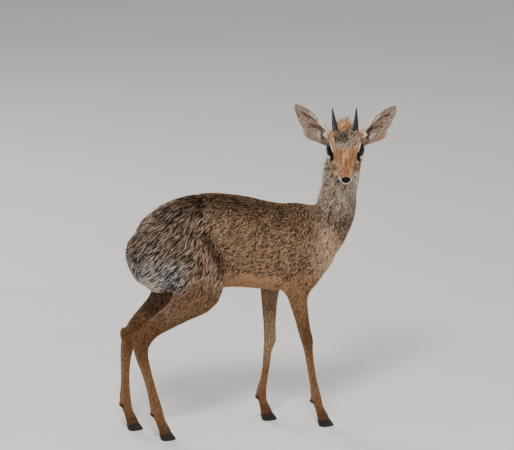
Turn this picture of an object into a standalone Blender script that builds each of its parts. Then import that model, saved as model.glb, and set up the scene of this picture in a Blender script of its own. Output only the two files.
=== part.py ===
"""A Kirk's dik-dik buck, life size, standing and looking over its right shoulder.

Metres, +Z up. +X is the way the body faces, +Y is the animal's left. The soles rest on z = 0,
and the origin is under the middle of the whole animal.
"""

import math

import bmesh
import bpy
import numpy as np
from mathutils import Matrix, Vector

# Driving dimensions
WITHERS_HEIGHT = 0.397
CROUP_HEIGHT = 0.431
CHEST_DEPTH = 0.150
BARREL_HALF_WIDTH = 0.057
HEAD_LENGTH = 0.125
EAR_LENGTH = 0.0955
EAR_WIDTH = 0.038
HORN_LENGTH = 0.056
HORN_RADIUS = 0.0062
EYE_RADIUS = 0.0125
GAP = 0.0003

# The origin's place in the frame that the stations below are written in
ORIGIN = Vector((0.0479, -0.0111, 0.0))

# The head's own axes: the body faces +X and the head is turned back over the right shoulder
HEAD_YAW = math.radians(-107)
HEAD_PITCH = math.radians(32)
EYE_MIDDLE = Vector((0.1901, -0.035, 0.4995))
LOOK = Vector((math.cos(HEAD_YAW), math.sin(HEAD_YAW), 0.0))
MUZZLE_AXIS = math.cos(HEAD_PITCH) * LOOK - math.sin(HEAD_PITCH) * Vector((0, 0, 1))
CROWN_AXIS = math.sin(HEAD_PITCH) * LOOK + math.cos(HEAD_PITCH) * Vector((0, 0, 1))
HEAD_LEFT = CROWN_AXIS.cross(MUZZLE_AXIS)

BODY_VOXEL = 0.0024
HEAD_VOXEL = 0.0013
BODY_TRIANGLES = 5300
HEAD_TRIANGLES = 2800

COLOURS = {
    "coat_back": (0.20, 0.145, 0.10),
    "coat_head": (0.42, 0.25, 0.13),
    "coat_leg": (0.36, 0.22, 0.13),
    "coat_ear": (0.45, 0.33, 0.25),
    "horn": (0.035, 0.033, 0.035),
    "hoof": (0.020, 0.017, 0.015),
    "eye": (0.012, 0.007, 0.005),
    "nose": (0.010, 0.009, 0.009),
}
ROUGHNESS = {"horn": 0.45, "hoof": 0.5, "eye": 0.06, "nose": 0.35}


def clear_scene():
    for obj in list(bpy.data.objects):
        bpy.data.objects.remove(obj)


def material(name):
    """The Principled material of one finish."""
    found = bpy.data.materials.get(name)
    if found:
        return found
    made = bpy.data.materials.new(name)
    made.use_nodes = True
    shader = made.node_tree.nodes["Principled BSDF"]
    shader.inputs["Base Color"].default_value = (*COLOURS[name], 1.0)
    shader.inputs["Roughness"].default_value = ROUGHNESS.get(name, 0.85)
    shader.inputs["Metallic"].default_value = 0.0
    return made


def add_object(name, mesh):
    obj = bpy.data.objects.new(name, mesh)
    bpy.context.scene.collection.objects.link(obj)
    return obj


def mesh_object(name, points, faces):
    mesh = bpy.data.meshes.new(name)
    mesh.from_pydata([tuple(p) for p in points], [], faces)
    mesh.update()
    return add_object(name, mesh)


def bake_modifiers(obj):
    """Replaces an object's mesh by what its modifiers make of it."""
    graph = bpy.context.evaluated_depsgraph_get()
    graph.update()
    made = bpy.data.meshes.new_from_object(obj.evaluated_get(graph), depsgraph=graph)
    old = obj.data
    obj.modifiers.clear()
    obj.data = made
    bpy.data.meshes.remove(old)


def head_point(forward, left, up):
    """A point given along the muzzle, to the animal's left and towards the crown, from between the eyes."""
    return EYE_MIDDLE + forward * MUZZLE_AXIS + left * HEAD_LEFT + up * CROWN_AXIS


def head_direction(forward, left, up):
    return (forward * MUZZLE_AXIS + left * HEAD_LEFT + up * CROWN_AXIS).normalized()


def smooth_rows(rows, per_span):
    """Rows of numbers along a Catmull-Rom curve through the given rows."""
    keys = np.array([[float(v) for v in row] for row in rows])
    padded = np.vstack([2 * keys[0] - keys[1], keys, 2 * keys[-1] - keys[-2]])
    out = []
    for i in range(len(keys) - 1):
        a, b, c, d = padded[i : i + 4]
        for k in range(per_span):
            t = k / per_span
            out.append(
                0.5
                * (2 * b + (c - a) * t + (2 * a - 5 * b + 4 * c - d) * t**2 + (3 * b - a - 3 * c + d) * t**3)
            )
    out.append(keys[-1])
    return np.array(out)


def ring(centre, front_axis, side_axis, front, back, half_width, power, sides):
    """A rounded section whose front and back reach differ."""
    points = []
    for k in range(sides):
        angle = 2 * math.pi * k / sides
        c, s = math.cos(angle), math.sin(angle)
        along = math.copysign(abs(c) ** (2 / power), c) * (front if c >= 0 else back)
        across = math.copysign(abs(s) ** (2 / power), s) * half_width
        points.append(centre + along * front_axis + across * side_axis)
    return points


def loft(name, rows, hint, end_hint=None, sides=20, per_span=3):
    """A closed body along a curve. A row is x, y, z, front reach, back reach, half width, power.

    The front of a section points along hint, which may turn into end_hint along the way.
    """
    least = 0.0004
    smooth = smooth_rows(rows, per_span).tolist()
    centres = [Vector(row[:3]) for row in smooth]
    last = len(smooth) - 1
    rings = []
    for i, row in enumerate(smooth):
        tangent = (centres[min(i + 1, last)] - centres[max(i - 1, 0)]).normalized()
        wanted = Vector(hint)
        if end_hint is not None:
            wanted = wanted.slerp(Vector(end_hint), i / last)
        side = tangent.cross(wanted).normalized()
        front_axis = side.cross(tangent).normalized()
        front, back, half_width = (max(v, least) for v in row[3:6])
        rings.append(ring(centres[i], front_axis, side, front, back, half_width, row[6], sides))
    return stitch(name, rings)


def stitch(name, rings):
    """A closed mesh over rings of equal count, with flat ends."""
    sides = len(rings[0])
    points = [p for r in rings for p in r]
    faces = []
    for i in range(len(rings) - 1):
        for k in range(sides):
            n = (k + 1) % sides
            faces.append((i * sides + k, i * sides + n, (i + 1) * sides + n, (i + 1) * sides + k))
    faces.append(tuple(range(sides))[::-1])
    faces.append(tuple((len(rings) - 1) * sides + k for k in range(sides)))
    made = mesh_object(name, points, faces)
    face_out(made)
    return made


def face_out(obj):
    edit = bmesh.new()
    edit.from_mesh(obj.data)
    bmesh.ops.recalc_face_normals(edit, faces=edit.faces)
    if edit.calc_volume(signed=True) < 0:
        bmesh.ops.reverse_faces(edit, faces=edit.faces)
    edit.to_mesh(obj.data)
    edit.free()


def blob(name, centre, radii, axes=None, segments=20):
    """An ellipsoid. axes are three directions at right angles, the world's own if left out."""
    edit = bmesh.new()
    bmesh.ops.create_uvsphere(edit, u_segments=segments, v_segments=segments // 2, radius=1.0)
    turn = Matrix([list(a) for a in axes]).transposed() if axes else Matrix.Identity(3)
    for v in edit.verts:
        v.co = centre + turn @ Vector([v.co[i] * radii[i] for i in range(3)])
    mesh = bpy.data.meshes.new(name)
    edit.to_mesh(mesh)
    edit.free()
    made = add_object(name, mesh)
    face_out(made)
    return made


def head_blob(name, place, radii, segments=20):
    return blob(name, head_point(*place), radii, (MUZZLE_AXIS, HEAD_LEFT, CROWN_AXIS), segments)


def join(name, pieces):
    """One mesh object of all the pieces, which are removed."""
    edit = bmesh.new()
    for piece in pieces:
        edit.from_mesh(piece.data)
        remove(piece)
    mesh = bpy.data.meshes.new(name)
    edit.to_mesh(mesh)
    edit.free()
    return add_object(name, mesh)


def remove(obj):
    mesh = obj.data
    bpy.data.objects.remove(obj)
    bpy.data.meshes.remove(mesh)


def fuse(name, pieces, voxel, rounds, triangles, broad=None):
    """Melts overlapping pieces into one skin, rounds off the joins and thins out its triangles.

    broad is a function of a place that says where the joins are rounded off more, from 0 to 1.
    """
    body = join(name, pieces)
    remesh = body.modifiers.new("melt", "REMESH")
    remesh.mode = "VOXEL"
    remesh.voxel_size = voxel
    bake_modifiers(body)
    if broad:
        group = body.vertex_groups.new(name="broad")
        for v in body.data.vertices:
            group.add([v.index], broad(v.co), "REPLACE")
        even = body.modifiers.new("even", "SMOOTH")
        even.factor = 0.5
        even.iterations = 30
        even.vertex_group = "broad"
    soften = body.modifiers.new("soften", "SMOOTH")
    soften.factor = 0.5
    soften.iterations = rounds
    bake_modifiers(body)
    body.vertex_groups.clear()
    count = 2 * len(body.data.polygons)
    thin = body.modifiers.new("thin", "DECIMATE")
    thin.ratio = triangles / count
    thin.use_collapse_triangulate = True
    bake_modifiers(body)
    keep_largest(body)
    return body


def keep_largest(obj):
    """Keeps only the largest closed surface of an object."""
    edit = bmesh.new()
    edit.from_mesh(obj.data)
    unseen = set(edit.verts)
    groups = []
    while unseen:
        todo = [unseen.pop()]
        group = set(todo)
        while todo:
            for edge in todo.pop().link_edges:
                for v in edge.verts:
                    if v in unseen:
                        unseen.discard(v)
                        group.add(v)
                        todo.append(v)
        groups.append(group)
    groups.sort(key=len)
    loose = [v for group in groups[:-1] for v in group]
    bmesh.ops.delete(edit, geom=loose, context="VERTS")
    edit.to_mesh(obj.data)
    edit.free()


def boolean(obj, other, operation):
    """Cuts, joins or crosses obj with other, which is then removed."""
    change = obj.modifiers.new(operation.lower(), "BOOLEAN")
    change.operation = operation
    change.solver = "EXACT"
    change.object = other
    bake_modifiers(obj)
    remove(other)
    keep_largest(obj)


def copy_of(obj, name):
    return add_object(name, obj.data.copy())


def slab(name, point, normal, size=1.0, depth=1.0):
    """A box on the side of a plane that its normal points to."""
    edit = bmesh.new()
    bmesh.ops.create_cube(edit, size=1.0)
    away = Vector(normal).normalized()
    turn = away.to_track_quat("Z", "Y").to_matrix()
    for v in edit.verts:
        local = Vector((v.co.x * size, v.co.y * size, (v.co.z + 0.5) * depth))
        v.co = Vector(point) + turn @ local
    mesh = bpy.data.meshes.new(name)
    edit.to_mesh(mesh)
    edit.free()
    made = add_object(name, mesh)
    face_out(made)
    return made


def prism(name, outline, low, high):
    """A cutter with a side outline of x and z, from y = low to y = high."""
    count = len(outline)
    points = [(x, low, z) for x, z in outline] + [(x, high, z) for x, z in outline]
    faces = [(k, (k + 1) % count, count + (k + 1) % count, count + k) for k in range(count)]
    faces.append(tuple(range(count))[::-1])
    faces.append(tuple(range(count, 2 * count)))
    made = mesh_object(name, points, faces)
    face_out(made)
    return made


# Torso: x, top, height of the widest part, bottom, half width, and the power of the section
TORSO = [
    (-0.1935, 0.348, 0.335, 0.324, 0.008, 2.0),
    (-0.1880, 0.365, 0.333, 0.304, 0.024, 2.1),
    (-0.1725, 0.386, 0.330, 0.280, 0.039, 2.2),
    (-0.1510, 0.404, 0.327, 0.265, 0.047, 2.2),
    (-0.1150, 0.4195, 0.327, 0.256, 0.052, 2.2),
    (-0.0800, 0.428, 0.328, 0.255, 0.053, 2.2),
    (-0.0400, CROUP_HEIGHT - 0.002, 0.329, 0.258, 0.053, 2.2),
    (0.0000, 0.422, 0.328, 0.258, 0.055, 2.2),
    (0.0450, 0.409, 0.321, 0.252, BARREL_HALF_WIDTH, 2.2),
    (0.0800, 0.402, 0.316, 0.247, BARREL_HALF_WIDTH, 2.2),
    (0.1150, WITHERS_HEIGHT + 0.005, 0.316, WITHERS_HEIGHT - CHEST_DEPTH - 0.003, 0.052, 2.1),
    (0.1450, WITHERS_HEIGHT + 0.004, 0.321, 0.270, 0.044, 2.1),
    (0.1670, 0.392, 0.328, 0.298, 0.036, 2.0),
    (0.1885, 0.368, 0.338, 0.321, 0.026, 2.0),
    (0.2010, 0.354, 0.344, 0.336, 0.010, 2.0),
]

# Neck: centre, throat reach, nape reach, half width, power
NECK = [
    (0.138, 0.000, 0.322, 0.038, 0.036, 0.040, 2.0),
    (0.163, 0.000, 0.347, 0.040, 0.044, 0.037, 2.0),
    (0.184, 0.000, 0.382, 0.036, 0.036, 0.0335, 2.0),
    (0.191, 0.000, 0.418, 0.0325, 0.033, 0.0312, 2.0),
    (0.1955, 0.000, 0.447, 0.0300, 0.032, 0.0330, 2.0),
    (0.199, -0.003, 0.480, 0.0265, 0.028, 0.0310, 2.0),
    (0.201, -0.011, 0.510, 0.022, 0.019, 0.0240, 2.0),
]

# Legs from the trunk down: centre, front reach, back reach, half width, power
HIND_RIGHT = [
    (-0.095, -0.030, 0.372, 0.040, 0.048, 0.018, 2.0),
    (-0.092, -0.036, 0.335, 0.058, 0.066, 0.027, 2.1),
    (-0.087, -0.042, 0.297, 0.057, 0.066, 0.029, 2.1),
    (-0.090, -0.047, 0.264, 0.047, 0.046, 0.026, 2.1),
    (-0.117, -0.048, 0.2355, 0.026, 0.024, 0.0195, 2.0),
    (-0.144, -0.046, 0.2166, 0.0195, 0.0195, 0.0145, 2.0),
    (-0.168, -0.043, 0.2000, 0.0165, 0.0175, 0.0115, 2.0),
    (-0.1835, -0.041, 0.1790, 0.0155, 0.0160, 0.0110, 2.0),
    (-0.1835, -0.040, 0.1560, 0.0120, 0.0120, 0.0095, 2.0),
    (-0.1745, -0.040, 0.1234, 0.0092, 0.0092, 0.0080, 2.0),
    (-0.1652, -0.040, 0.0882, 0.0088, 0.0088, 0.0078, 2.0),
    (-0.1570, -0.040, 0.0560, 0.0105, 0.0115, 0.0092, 2.0),
    (-0.1500, -0.040, 0.0350, 0.0085, 0.0090, 0.0084, 2.2),
    (-0.1420, -0.040, 0.0160, 0.0100, 0.0105, 0.0096, 2.4),
    (-0.1380, -0.040, 0.0020, 0.0100, 0.0110, 0.0096, 2.4),
]
HIND_LEFT = [
    (-0.098, 0.030, 0.372, 0.040, 0.048, 0.018, 2.0),
    (-0.096, 0.036, 0.335, 0.058, 0.064, 0.027, 2.1),
    (-0.094, 0.042, 0.297, 0.056, 0.064, 0.029, 2.1),
    (-0.099, 0.047, 0.262, 0.046, 0.046, 0.026, 2.1),
    (-0.124, 0.048, 0.2290, 0.026, 0.024, 0.0195, 2.0),
    (-0.149, 0.046, 0.2060, 0.0195, 0.0195, 0.0145, 2.0),
    (-0.171, 0.043, 0.1860, 0.0160, 0.0170, 0.0115, 2.0),
    (-0.1835, 0.041, 0.1660, 0.0150, 0.0140, 0.0110, 2.0),
    (-0.1895, 0.040, 0.1430, 0.0112, 0.0112, 0.0095, 2.0),
    (-0.1915, 0.040, 0.1160, 0.0086, 0.0086, 0.0080, 2.0),
    (-0.1920, 0.040, 0.0850, 0.0084, 0.0084, 0.0078, 2.0),
    (-0.1915, 0.040, 0.0560, 0.0102, 0.0112, 0.0092, 2.0),
    (-0.1865, 0.040, 0.0350, 0.0085, 0.0090, 0.0084, 2.2),
    (-0.1795, 0.040, 0.0160, 0.0100, 0.0105, 0.0096, 2.4),
    (-0.1755, 0.040, 0.0020, 0.0100, 0.0110, 0.0096, 2.4),
]
FORE_RIGHT = [
    (0.122, -0.022, 0.365, 0.034, 0.036, 0.014, 2.0),
    (0.134, -0.030, 0.328, 0.044, 0.046, 0.021, 2.0),
    (0.118, -0.038, 0.292, 0.034, 0.043, 0.022, 2.0),
    (0.102, -0.043, 0.262, 0.027, 0.028, 0.0185, 2.0),
    (0.1015, -0.044, 0.2374, 0.0175, 0.0180, 0.0145, 2.0),
    (0.1080, -0.0415, 0.2067, 0.0135, 0.0135, 0.0115, 2.0),
    (0.1150, -0.038, 0.1770, 0.0115, 0.0115, 0.0100, 2.0),
    (0.1200, -0.036, 0.1590, 0.0115, 0.0105, 0.0105, 2.2),
    (0.1237, -0.035, 0.1390, 0.0080, 0.0085, 0.0080, 2.0),
    (0.1287, -0.034, 0.1050, 0.0072, 0.0072, 0.0068, 2.0),
    (0.1340, -0.033, 0.0770, 0.0074, 0.0074, 0.0070, 2.0),
    (0.1385, -0.033, 0.0545, 0.0090, 0.0102, 0.0088, 2.0),
    (0.1440, -0.0335, 0.0350, 0.0075, 0.0080, 0.0080, 2.2),
    (0.1510, -0.034, 0.0160, 0.0098, 0.0102, 0.0094, 2.4),
    (0.1550, -0.034, 0.0020, 0.0098, 0.0106, 0.0094, 2.4),
]
FORE_LEFT = [
    (0.118, 0.022, 0.365, 0.034, 0.036, 0.014, 2.0),
    (0.124, 0.030, 0.328, 0.044, 0.046, 0.021, 2.0),
    (0.103, 0.038, 0.292, 0.036, 0.043, 0.022, 2.0),
    (0.082, 0.043, 0.262, 0.027, 0.027, 0.0185, 2.0),
    (0.0765, 0.044, 0.2330, 0.0170, 0.0175, 0.0145, 2.0),
    (0.0750, 0.0415, 0.1950, 0.0128, 0.0130, 0.0115, 2.0),
    (0.0745, 0.039, 0.1650, 0.0112, 0.0112, 0.0100, 2.0),
    (0.0738, 0.0375, 0.1470, 0.0118, 0.0100, 0.0105, 2.2),
    (0.0698, 0.0355, 0.1270, 0.0078, 0.0082, 0.0080, 2.0),
    (0.0660, 0.034, 0.0980, 0.0070, 0.0070, 0.0068, 2.0),
    (0.0610, 0.033, 0.0720, 0.0072, 0.0072, 0.0070, 2.0),
    (0.0575, 0.033, 0.0520, 0.0090, 0.0102, 0.0088, 2.0),
    (0.0605, 0.0335, 0.0340, 0.0075, 0.0080, 0.0080, 2.2),
    (0.0665, 0.034, 0.0160, 0.0098, 0.0102, 0.0094, 2.4),
    (0.0705, 0.034, 0.0020, 0.0098, 0.0106, 0.0094, 2.4),
]
LEGS = {"hind_right": HIND_RIGHT, "hind_left": HIND_LEFT, "fore_right": FORE_RIGHT, "fore_left": FORE_LEFT}
FETLOCK_ROW = 11
FOOT_ROW = 13

# Side outlines, x and z, that part the legs from the trunk
THIGH_OUTLINE = [
    (-0.260, 0.300),
    (-0.200, 0.318),
    (-0.150, 0.336),
    (-0.100, 0.338),
    (-0.055, 0.318),
    (-0.033, 0.285),
    (-0.026, 0.250),
    (-0.026, -0.020),
    (-0.260, -0.020),
]
ARM_OUTLINE = [
    (0.040, 0.2410),
    (0.090, 0.2460),
    (0.150, 0.2550),
    (0.200, 0.1000),
    (0.200, -0.0200),
    (0.040, -0.0200),
]


def torso_pieces():
    rows = []
    for x, top, centre, bottom, half_width, power in TORSO:
        rows.append((x, 0.0, centre, top - centre, centre - bottom, half_width, power))
    throat = Vector((1, 0, 0))
    return [
        loft("torso_core", rows, (0, 0, 1), sides=32, per_span=4),
        loft("neck_core", NECK, throat, LOOK, sides=28, per_span=4),
    ]


def leg_pieces(name, rows):
    """One leg with the point of its hock or elbow, and the dewclaws behind its fetlock."""
    pieces = [loft(f"{name}_core", rows, (1, 0, 0), sides=20, per_span=3)]
    x, y, z = rows[FETLOCK_ROW][:3]
    for side in (-1, 1):
        claw = Vector((x - 0.0098, y + side * 0.0050, z - 0.0075))
        pieces.append(blob(f"{name}_dewclaw", claw, (0.0028, 0.0024, 0.0048), segments=12))
    if name.startswith("hind"):
        hock = Vector(rows[7][:3])
        heel = hock + Vector((-0.0110, 0.0, 0.0105))
        pieces.append(blob(f"{name}_heel", heel, (0.0072, 0.0068, 0.0125), segments=14))
        calf = Vector(rows[5][:3]) + Vector((0.004, 0.0, 0.006))
        tendon = []
        for place, radius in ((heel, 0.0064), (heel.lerp(calf, 0.45), 0.0060), (calf, 0.0066)):
            tendon.append((*place, radius, radius, 0.9 * radius, 2.0))
        pieces.append(loft(f"{name}_tendon", tendon, (1, 0, 0), sides=10, per_span=3))
    else:
        elbow = Vector(rows[3][:3]) + Vector((-0.020, 0.0, -0.002))
        pieces.append(blob(f"{name}_elbow", elbow, (0.012, 0.010, 0.014), segments=14))
    return pieces


def muscle_pieces():
    """The masses that round out the withers, and on both sides the haunch, the flank and the shoulder."""
    pieces = [blob("withers", Vector((0.133, 0.0, 0.3725)), (0.037, 0.029, 0.0240))]
    for side in (-1, 1):
        pieces += [
            blob("haunch", Vector((-0.127, side * 0.030, 0.343)), (0.051, 0.029, 0.055)),
            blob("buttock", Vector((-0.148, side * 0.030, 0.312)), (0.039, 0.026, 0.049)),
            blob("stifle", Vector((-0.062, side * 0.044, 0.285)), (0.030, 0.020, 0.036)),
            blob("shoulder", Vector((0.120, side * 0.031, 0.324)), (0.043, 0.020, 0.052)),
            blob("breast", Vector((0.154, side * 0.017, 0.322)), (0.024, 0.019, 0.029)),
        ]
    return pieces


# Head: along the muzzle, top, bottom, half width, power, in millimetres
HEAD = [
    (-50, 9, -9, 9, 2.0),
    (-45, 19, -17, 17, 2.0),
    (-35, 26, -23, 23, 2.0),
    (-21, 30.5, -27, 26.5, 2.1),
    (-8, 31, -29.5, 27, 2.2),
    (4, 28, -29.5, 25, 2.2),
    (16, 22.5, -28.0, 21.5, 2.2),
    (28, 17.5, -25.2, 18, 2.2),
    (40, 14, -22.2, 15.7, 2.2),
    (52, 11.5, -20.3, 14.4, 2.2),
    (60, 9, -19.6, 13.6, 2.2),
    (66, 6.5, -18.8, 12.2, 2.2),
    (70, 4, -16.8, 10.4, 2.2),
    (73, 0.5, -13, 7.0, 2.1),
    (74.5, -3, -9, 3, 2.0),
]
MM = 0.001
HEAD_SCALE = MM * HEAD_LENGTH / 0.125

EYE_SPREAD = 0.0205  # from the middle of the head to an eyeball's centre
LID_LENGTH = 0.0107
LID_HEIGHT = 0.0092
LID_SWELL = 0.0013
LID_THICKNESS = 0.0017
HORN_ROOT = (-0.021, 0.0175, 0.0265)
HORN_LEAN = {-1: (-0.985, 0.090, -0.050), 1: (-0.985, 0.050, -0.050)}  # right, left
HORN_SEAT = 0.004  # the horn's foot stands this far out along its axis
EAR_ROOT = (-0.025, 0.0255, -0.001)
EAR_LEAN = {-1: (-0.695, 0.690, 0.252), 1: (-0.665, 0.715, 0.225)}
EAR_STUB = 0.0055  # how far the ear's root stands out of the head
HEAD_CUT = Vector((0.199, -0.004, 0.478))
HEAD_CUT_NORMAL = (-0.5 * LOOK - 0.87 * Vector((0, 0, 1))).normalized()
NOSE_PLACE = (0.0735, 0.0, -0.0036)
NOSE_RADII = (0.0058, 0.0083, 0.0057)
MOUTH_DROP = 0.0134


def eye_centre(side):
    return head_point(0.0, side * EYE_SPREAD, 0.0)


def eye_axes(side):
    """An eye's outward direction, its long direction and its upright direction."""
    out = head_direction(0.36, side * 0.86, 0.36)
    along = (MUZZLE_AXIS - out * MUZZLE_AXIS.dot(out)).normalized()
    tilt = math.radians(14)
    upright = out.cross(along).normalized()
    if upright.dot(CROWN_AXIS) < 0:
        upright = -upright
    turned_along = math.cos(tilt) * along - math.sin(tilt) * upright
    turned_upright = math.cos(tilt) * upright + math.sin(tilt) * along
    return out, turned_along, turned_upright


def almond(side, scale, count=28):
    """The opening between an eye's lids, on the eyeball: places, and how far each is along, up and out."""
    centre = eye_centre(side)
    out, along, upright = eye_axes(side)
    path = []
    for angle in ring_angles(count):
        reach = math.cos(angle) * LID_LENGTH * scale * (1.0 + 0.22 * max(0.0, math.cos(angle)) ** 6)
        rise = math.sin(angle) * LID_HEIGHT * scale * (1 - 0.25 * abs(math.cos(angle)) ** 3)
        depth = math.sqrt(max(0.0, (EYE_RADIUS + 0.0006) ** 2 - reach**2 - rise**2))
        path.append(centre + along * reach + upright * rise + out * depth)
    return path


def lid_rim(name, side, swell):
    """The thick rim of the two eyelids, a tube along the opening."""
    centre = eye_centre(side)
    path = almond(side, 1.14)
    count = len(path)
    sides = 8
    rings = []
    for k, p in enumerate(path):
        tangent = (path[(k + 1) % count] - path[k - 1]).normalized()
        normal = (p - centre).normalized()
        across = tangent.cross(normal).normalized()
        rings.append([p + swell * (math.cos(a) * normal + math.sin(a) * across) for a in ring_angles(sides)])
    points = [p for r in rings for p in r]
    faces = []
    for i in range(count):
        for k in range(sides):
            n = (k + 1) % sides
            j = (i + 1) % count
            faces.append((i * sides + k, i * sides + n, j * sides + n, j * sides + k))
    made = mesh_object(name, points, faces)
    face_out(made)
    return made


def lid_opening(side):
    """A cutter that widens from inside the eyeball out through the lids."""
    centre = eye_centre(side)
    path = almond(side, 1.0)
    return stitch("lid_opening", [[centre + (p - centre) * f for p in path] for f in (0.70, 1.0, 1.5, 2.4)])


def ring_angles(count):
    return [2 * math.pi * k / count for k in range(count)]


def muzzle_outline(drop, inset, back):
    """Points at one level under the eye line, from the left cheek round the nose to the right cheek."""
    left = []
    for forward, top, bottom, half_width, power in smooth_rows(HEAD, 4).tolist():
        if forward * HEAD_SCALE < back or bottom * HEAD_SCALE >= -drop - 0.0005:
            continue
        centre = (top + bottom) / 2 * HEAD_SCALE
        reach = (top - bottom) / 2 * HEAD_SCALE
        level = min(0.98, abs(-drop - centre) / reach)
        across = half_width * HEAD_SCALE * (1 - level**power) ** (1 / power) - inset
        left.append((forward * HEAD_SCALE, max(across, 0.0005), -drop))
    tip = left[-1][0] - inset * 0.5
    right = [(f, -a, d) for f, a, d in left[::-1]]
    return left + [(tip + 0.0012, 0.0, -drop)] + right


def mouth_band(name, drop, inset, half_height, half_depth):
    """A band along the mouth: a swept section that cuts the mouth's line or builds a lip."""
    path = muzzle_outline(drop, inset, 0.040)
    rings = []
    for k, (forward, left, up) in enumerate(path):
        before = Vector(path[max(k - 1, 0)])
        after = Vector(path[min(k + 1, len(path) - 1)])
        tangent = (after - before).normalized()
        outward = Vector((tangent.y, -tangent.x, 0.0)).normalized()
        if outward.y * left < 0 and abs(left) > 0.001:
            outward = -outward
        if abs(left) <= 0.001:
            outward = Vector((1, 0, 0))
        taper = min(1.0, 0.35 + 0.16 * min(k, len(path) - 1 - k))
        section = []
        for a in ring_angles(8):
            across = math.cos(a) * half_depth * taper
            rise = math.sin(a) * half_height * taper
            section.append(head_point(forward + across * outward.x, left + across * outward.y, up + rise))
        rings.append(section)
    return stitch(name, rings)


def head_pieces():
    rows = []
    for forward, top, bottom, half_width, power in HEAD:
        centre = (top + bottom) / 2 * HEAD_SCALE
        reach = (top - bottom) / 2 * HEAD_SCALE
        place = head_point(forward * HEAD_SCALE, 0, centre)
        rows.append((*place, reach, reach, half_width * HEAD_SCALE, power))
    pieces = [
        loft("skull", rows, CROWN_AXIS, sides=32, per_span=4),
        loft("neck_top", NECK[2:], neck_hint(2), LOOK, sides=28, per_span=4),
        head_blob("muzzle_swell", (0.058, 0, -0.004), (0.0145, 0.0138, 0.0120)),
        head_blob("chin", (0.058, 0, -0.0155), (0.0125, 0.0095, 0.0060)),
        head_blob("throat_latch", (-0.020, 0, -0.0280), (0.022, 0.0240, 0.0160)),
    ]
    for side in (-1, 1):
        pieces += [
            head_blob("brow", (-0.002, side * 0.0190, 0.0120), (0.0170, 0.0090, 0.0085)),
            blob("lids", eye_centre(side), (EYE_RADIUS + LID_THICKNESS,) * 3),
            head_blob("cheek_bone", (0.010, side * 0.0160, -0.0125), (0.0240, 0.0078, 0.0088)),
            head_blob("jaw_muscle", (-0.005, side * 0.0205, -0.0185), (0.0230, 0.0118, 0.0155)),
            head_blob("jowl", (0.012, side * 0.0172, -0.0188), (0.0360, 0.0112, 0.0116)),
            head_blob("ear_bed", (-0.025, side * 0.0190, 0.0010), (0.0150, 0.0105, 0.0165)),
            head_blob("horn_bed", (-0.020, side * 0.0158, 0.0225), (0.0125, 0.0088, 0.0080)),
            ear_stub(side),
        ]
        pieces.append(lid_rim("lid_rim", side, LID_SWELL))
    pieces.append(mouth_band("upper_lip", MOUTH_DROP - 0.0018, 0.0010, 0.0018, 0.0018))
    pieces.append(mouth_band("lower_lip", MOUTH_DROP + 0.0018, 0.0016, 0.0016, 0.0016))
    return pieces


def neck_hint(row):
    """The throat's direction at one row of the neck."""
    return Vector((1, 0, 0)).slerp(LOOK, row / (len(NECK) - 1))


def ear_frame(side):
    """An ear's root, its direction, the way its cup faces and the way across it."""
    root = head_point(EAR_ROOT[0], side * EAR_ROOT[1], EAR_ROOT[2])
    forward, sideways, up = EAR_LEAN[side]
    along = head_direction(forward, side * sideways, up)
    facing = head_direction(0.74, side * 0.16, 0.66)
    facing = (facing - along * facing.dot(along)).normalized()
    across = along.cross(facing).normalized() * side
    return root, along, facing, across


def ear_stub(side):
    """The root of an ear, a short tube that the ear's own piece stands on."""
    root, along, facing = ear_frame(side)[:3]
    rows = []
    for reach, half in ((-0.012, 0.0135), (0.0, 0.0125), (0.008, 0.0118), (0.014, 0.0115)):
        rows.append((*(root + along * reach), 0.8 * half, 0.8 * half, half, 2.0))
    return loft("ear_stub", rows, facing, sides=18, per_span=2)


def ear_width(share):
    """Half the ear's width towards the crown and towards the cheek, at a share of its length."""
    crown = [(0, 0.0112), (0.15, 0.0114), (0.3, 0.0120), (0.45, 0.0130), (0.6, 0.0136), (0.75, 0.0114)]
    cheek = [(0, 0.0152), (0.10, 0.0188), (0.20, 0.0228), (0.33, 0.0262), (0.5, 0.0240), (0.72, 0.0180)]
    crown += [(0.90, 0.0068), (1.0, 0.0006)]
    cheek += [(0.90, 0.0092), (1.0, 0.0006)]
    scale = EAR_WIDTH / 0.038
    return [scale * float(smooth_value(table, share)) for table in (crown, cheek)]


def smooth_value(table, at):
    """The value at one place of a smooth curve through a table of places and values."""
    rows = smooth_rows(table, 6)
    return np.interp(at, rows[:, 0], rows[:, 1])


EAR_CUP = [(0, 0.0095), (0.25, 0.0135), (0.5, 0.0100), (0.8, 0.0044), (1.0, 0.0004)]
EAR_WALL = [(0, 0.0034), (0.3, 0.0022), (0.8, 0.0016), (1.0, 0.0007)]


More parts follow.
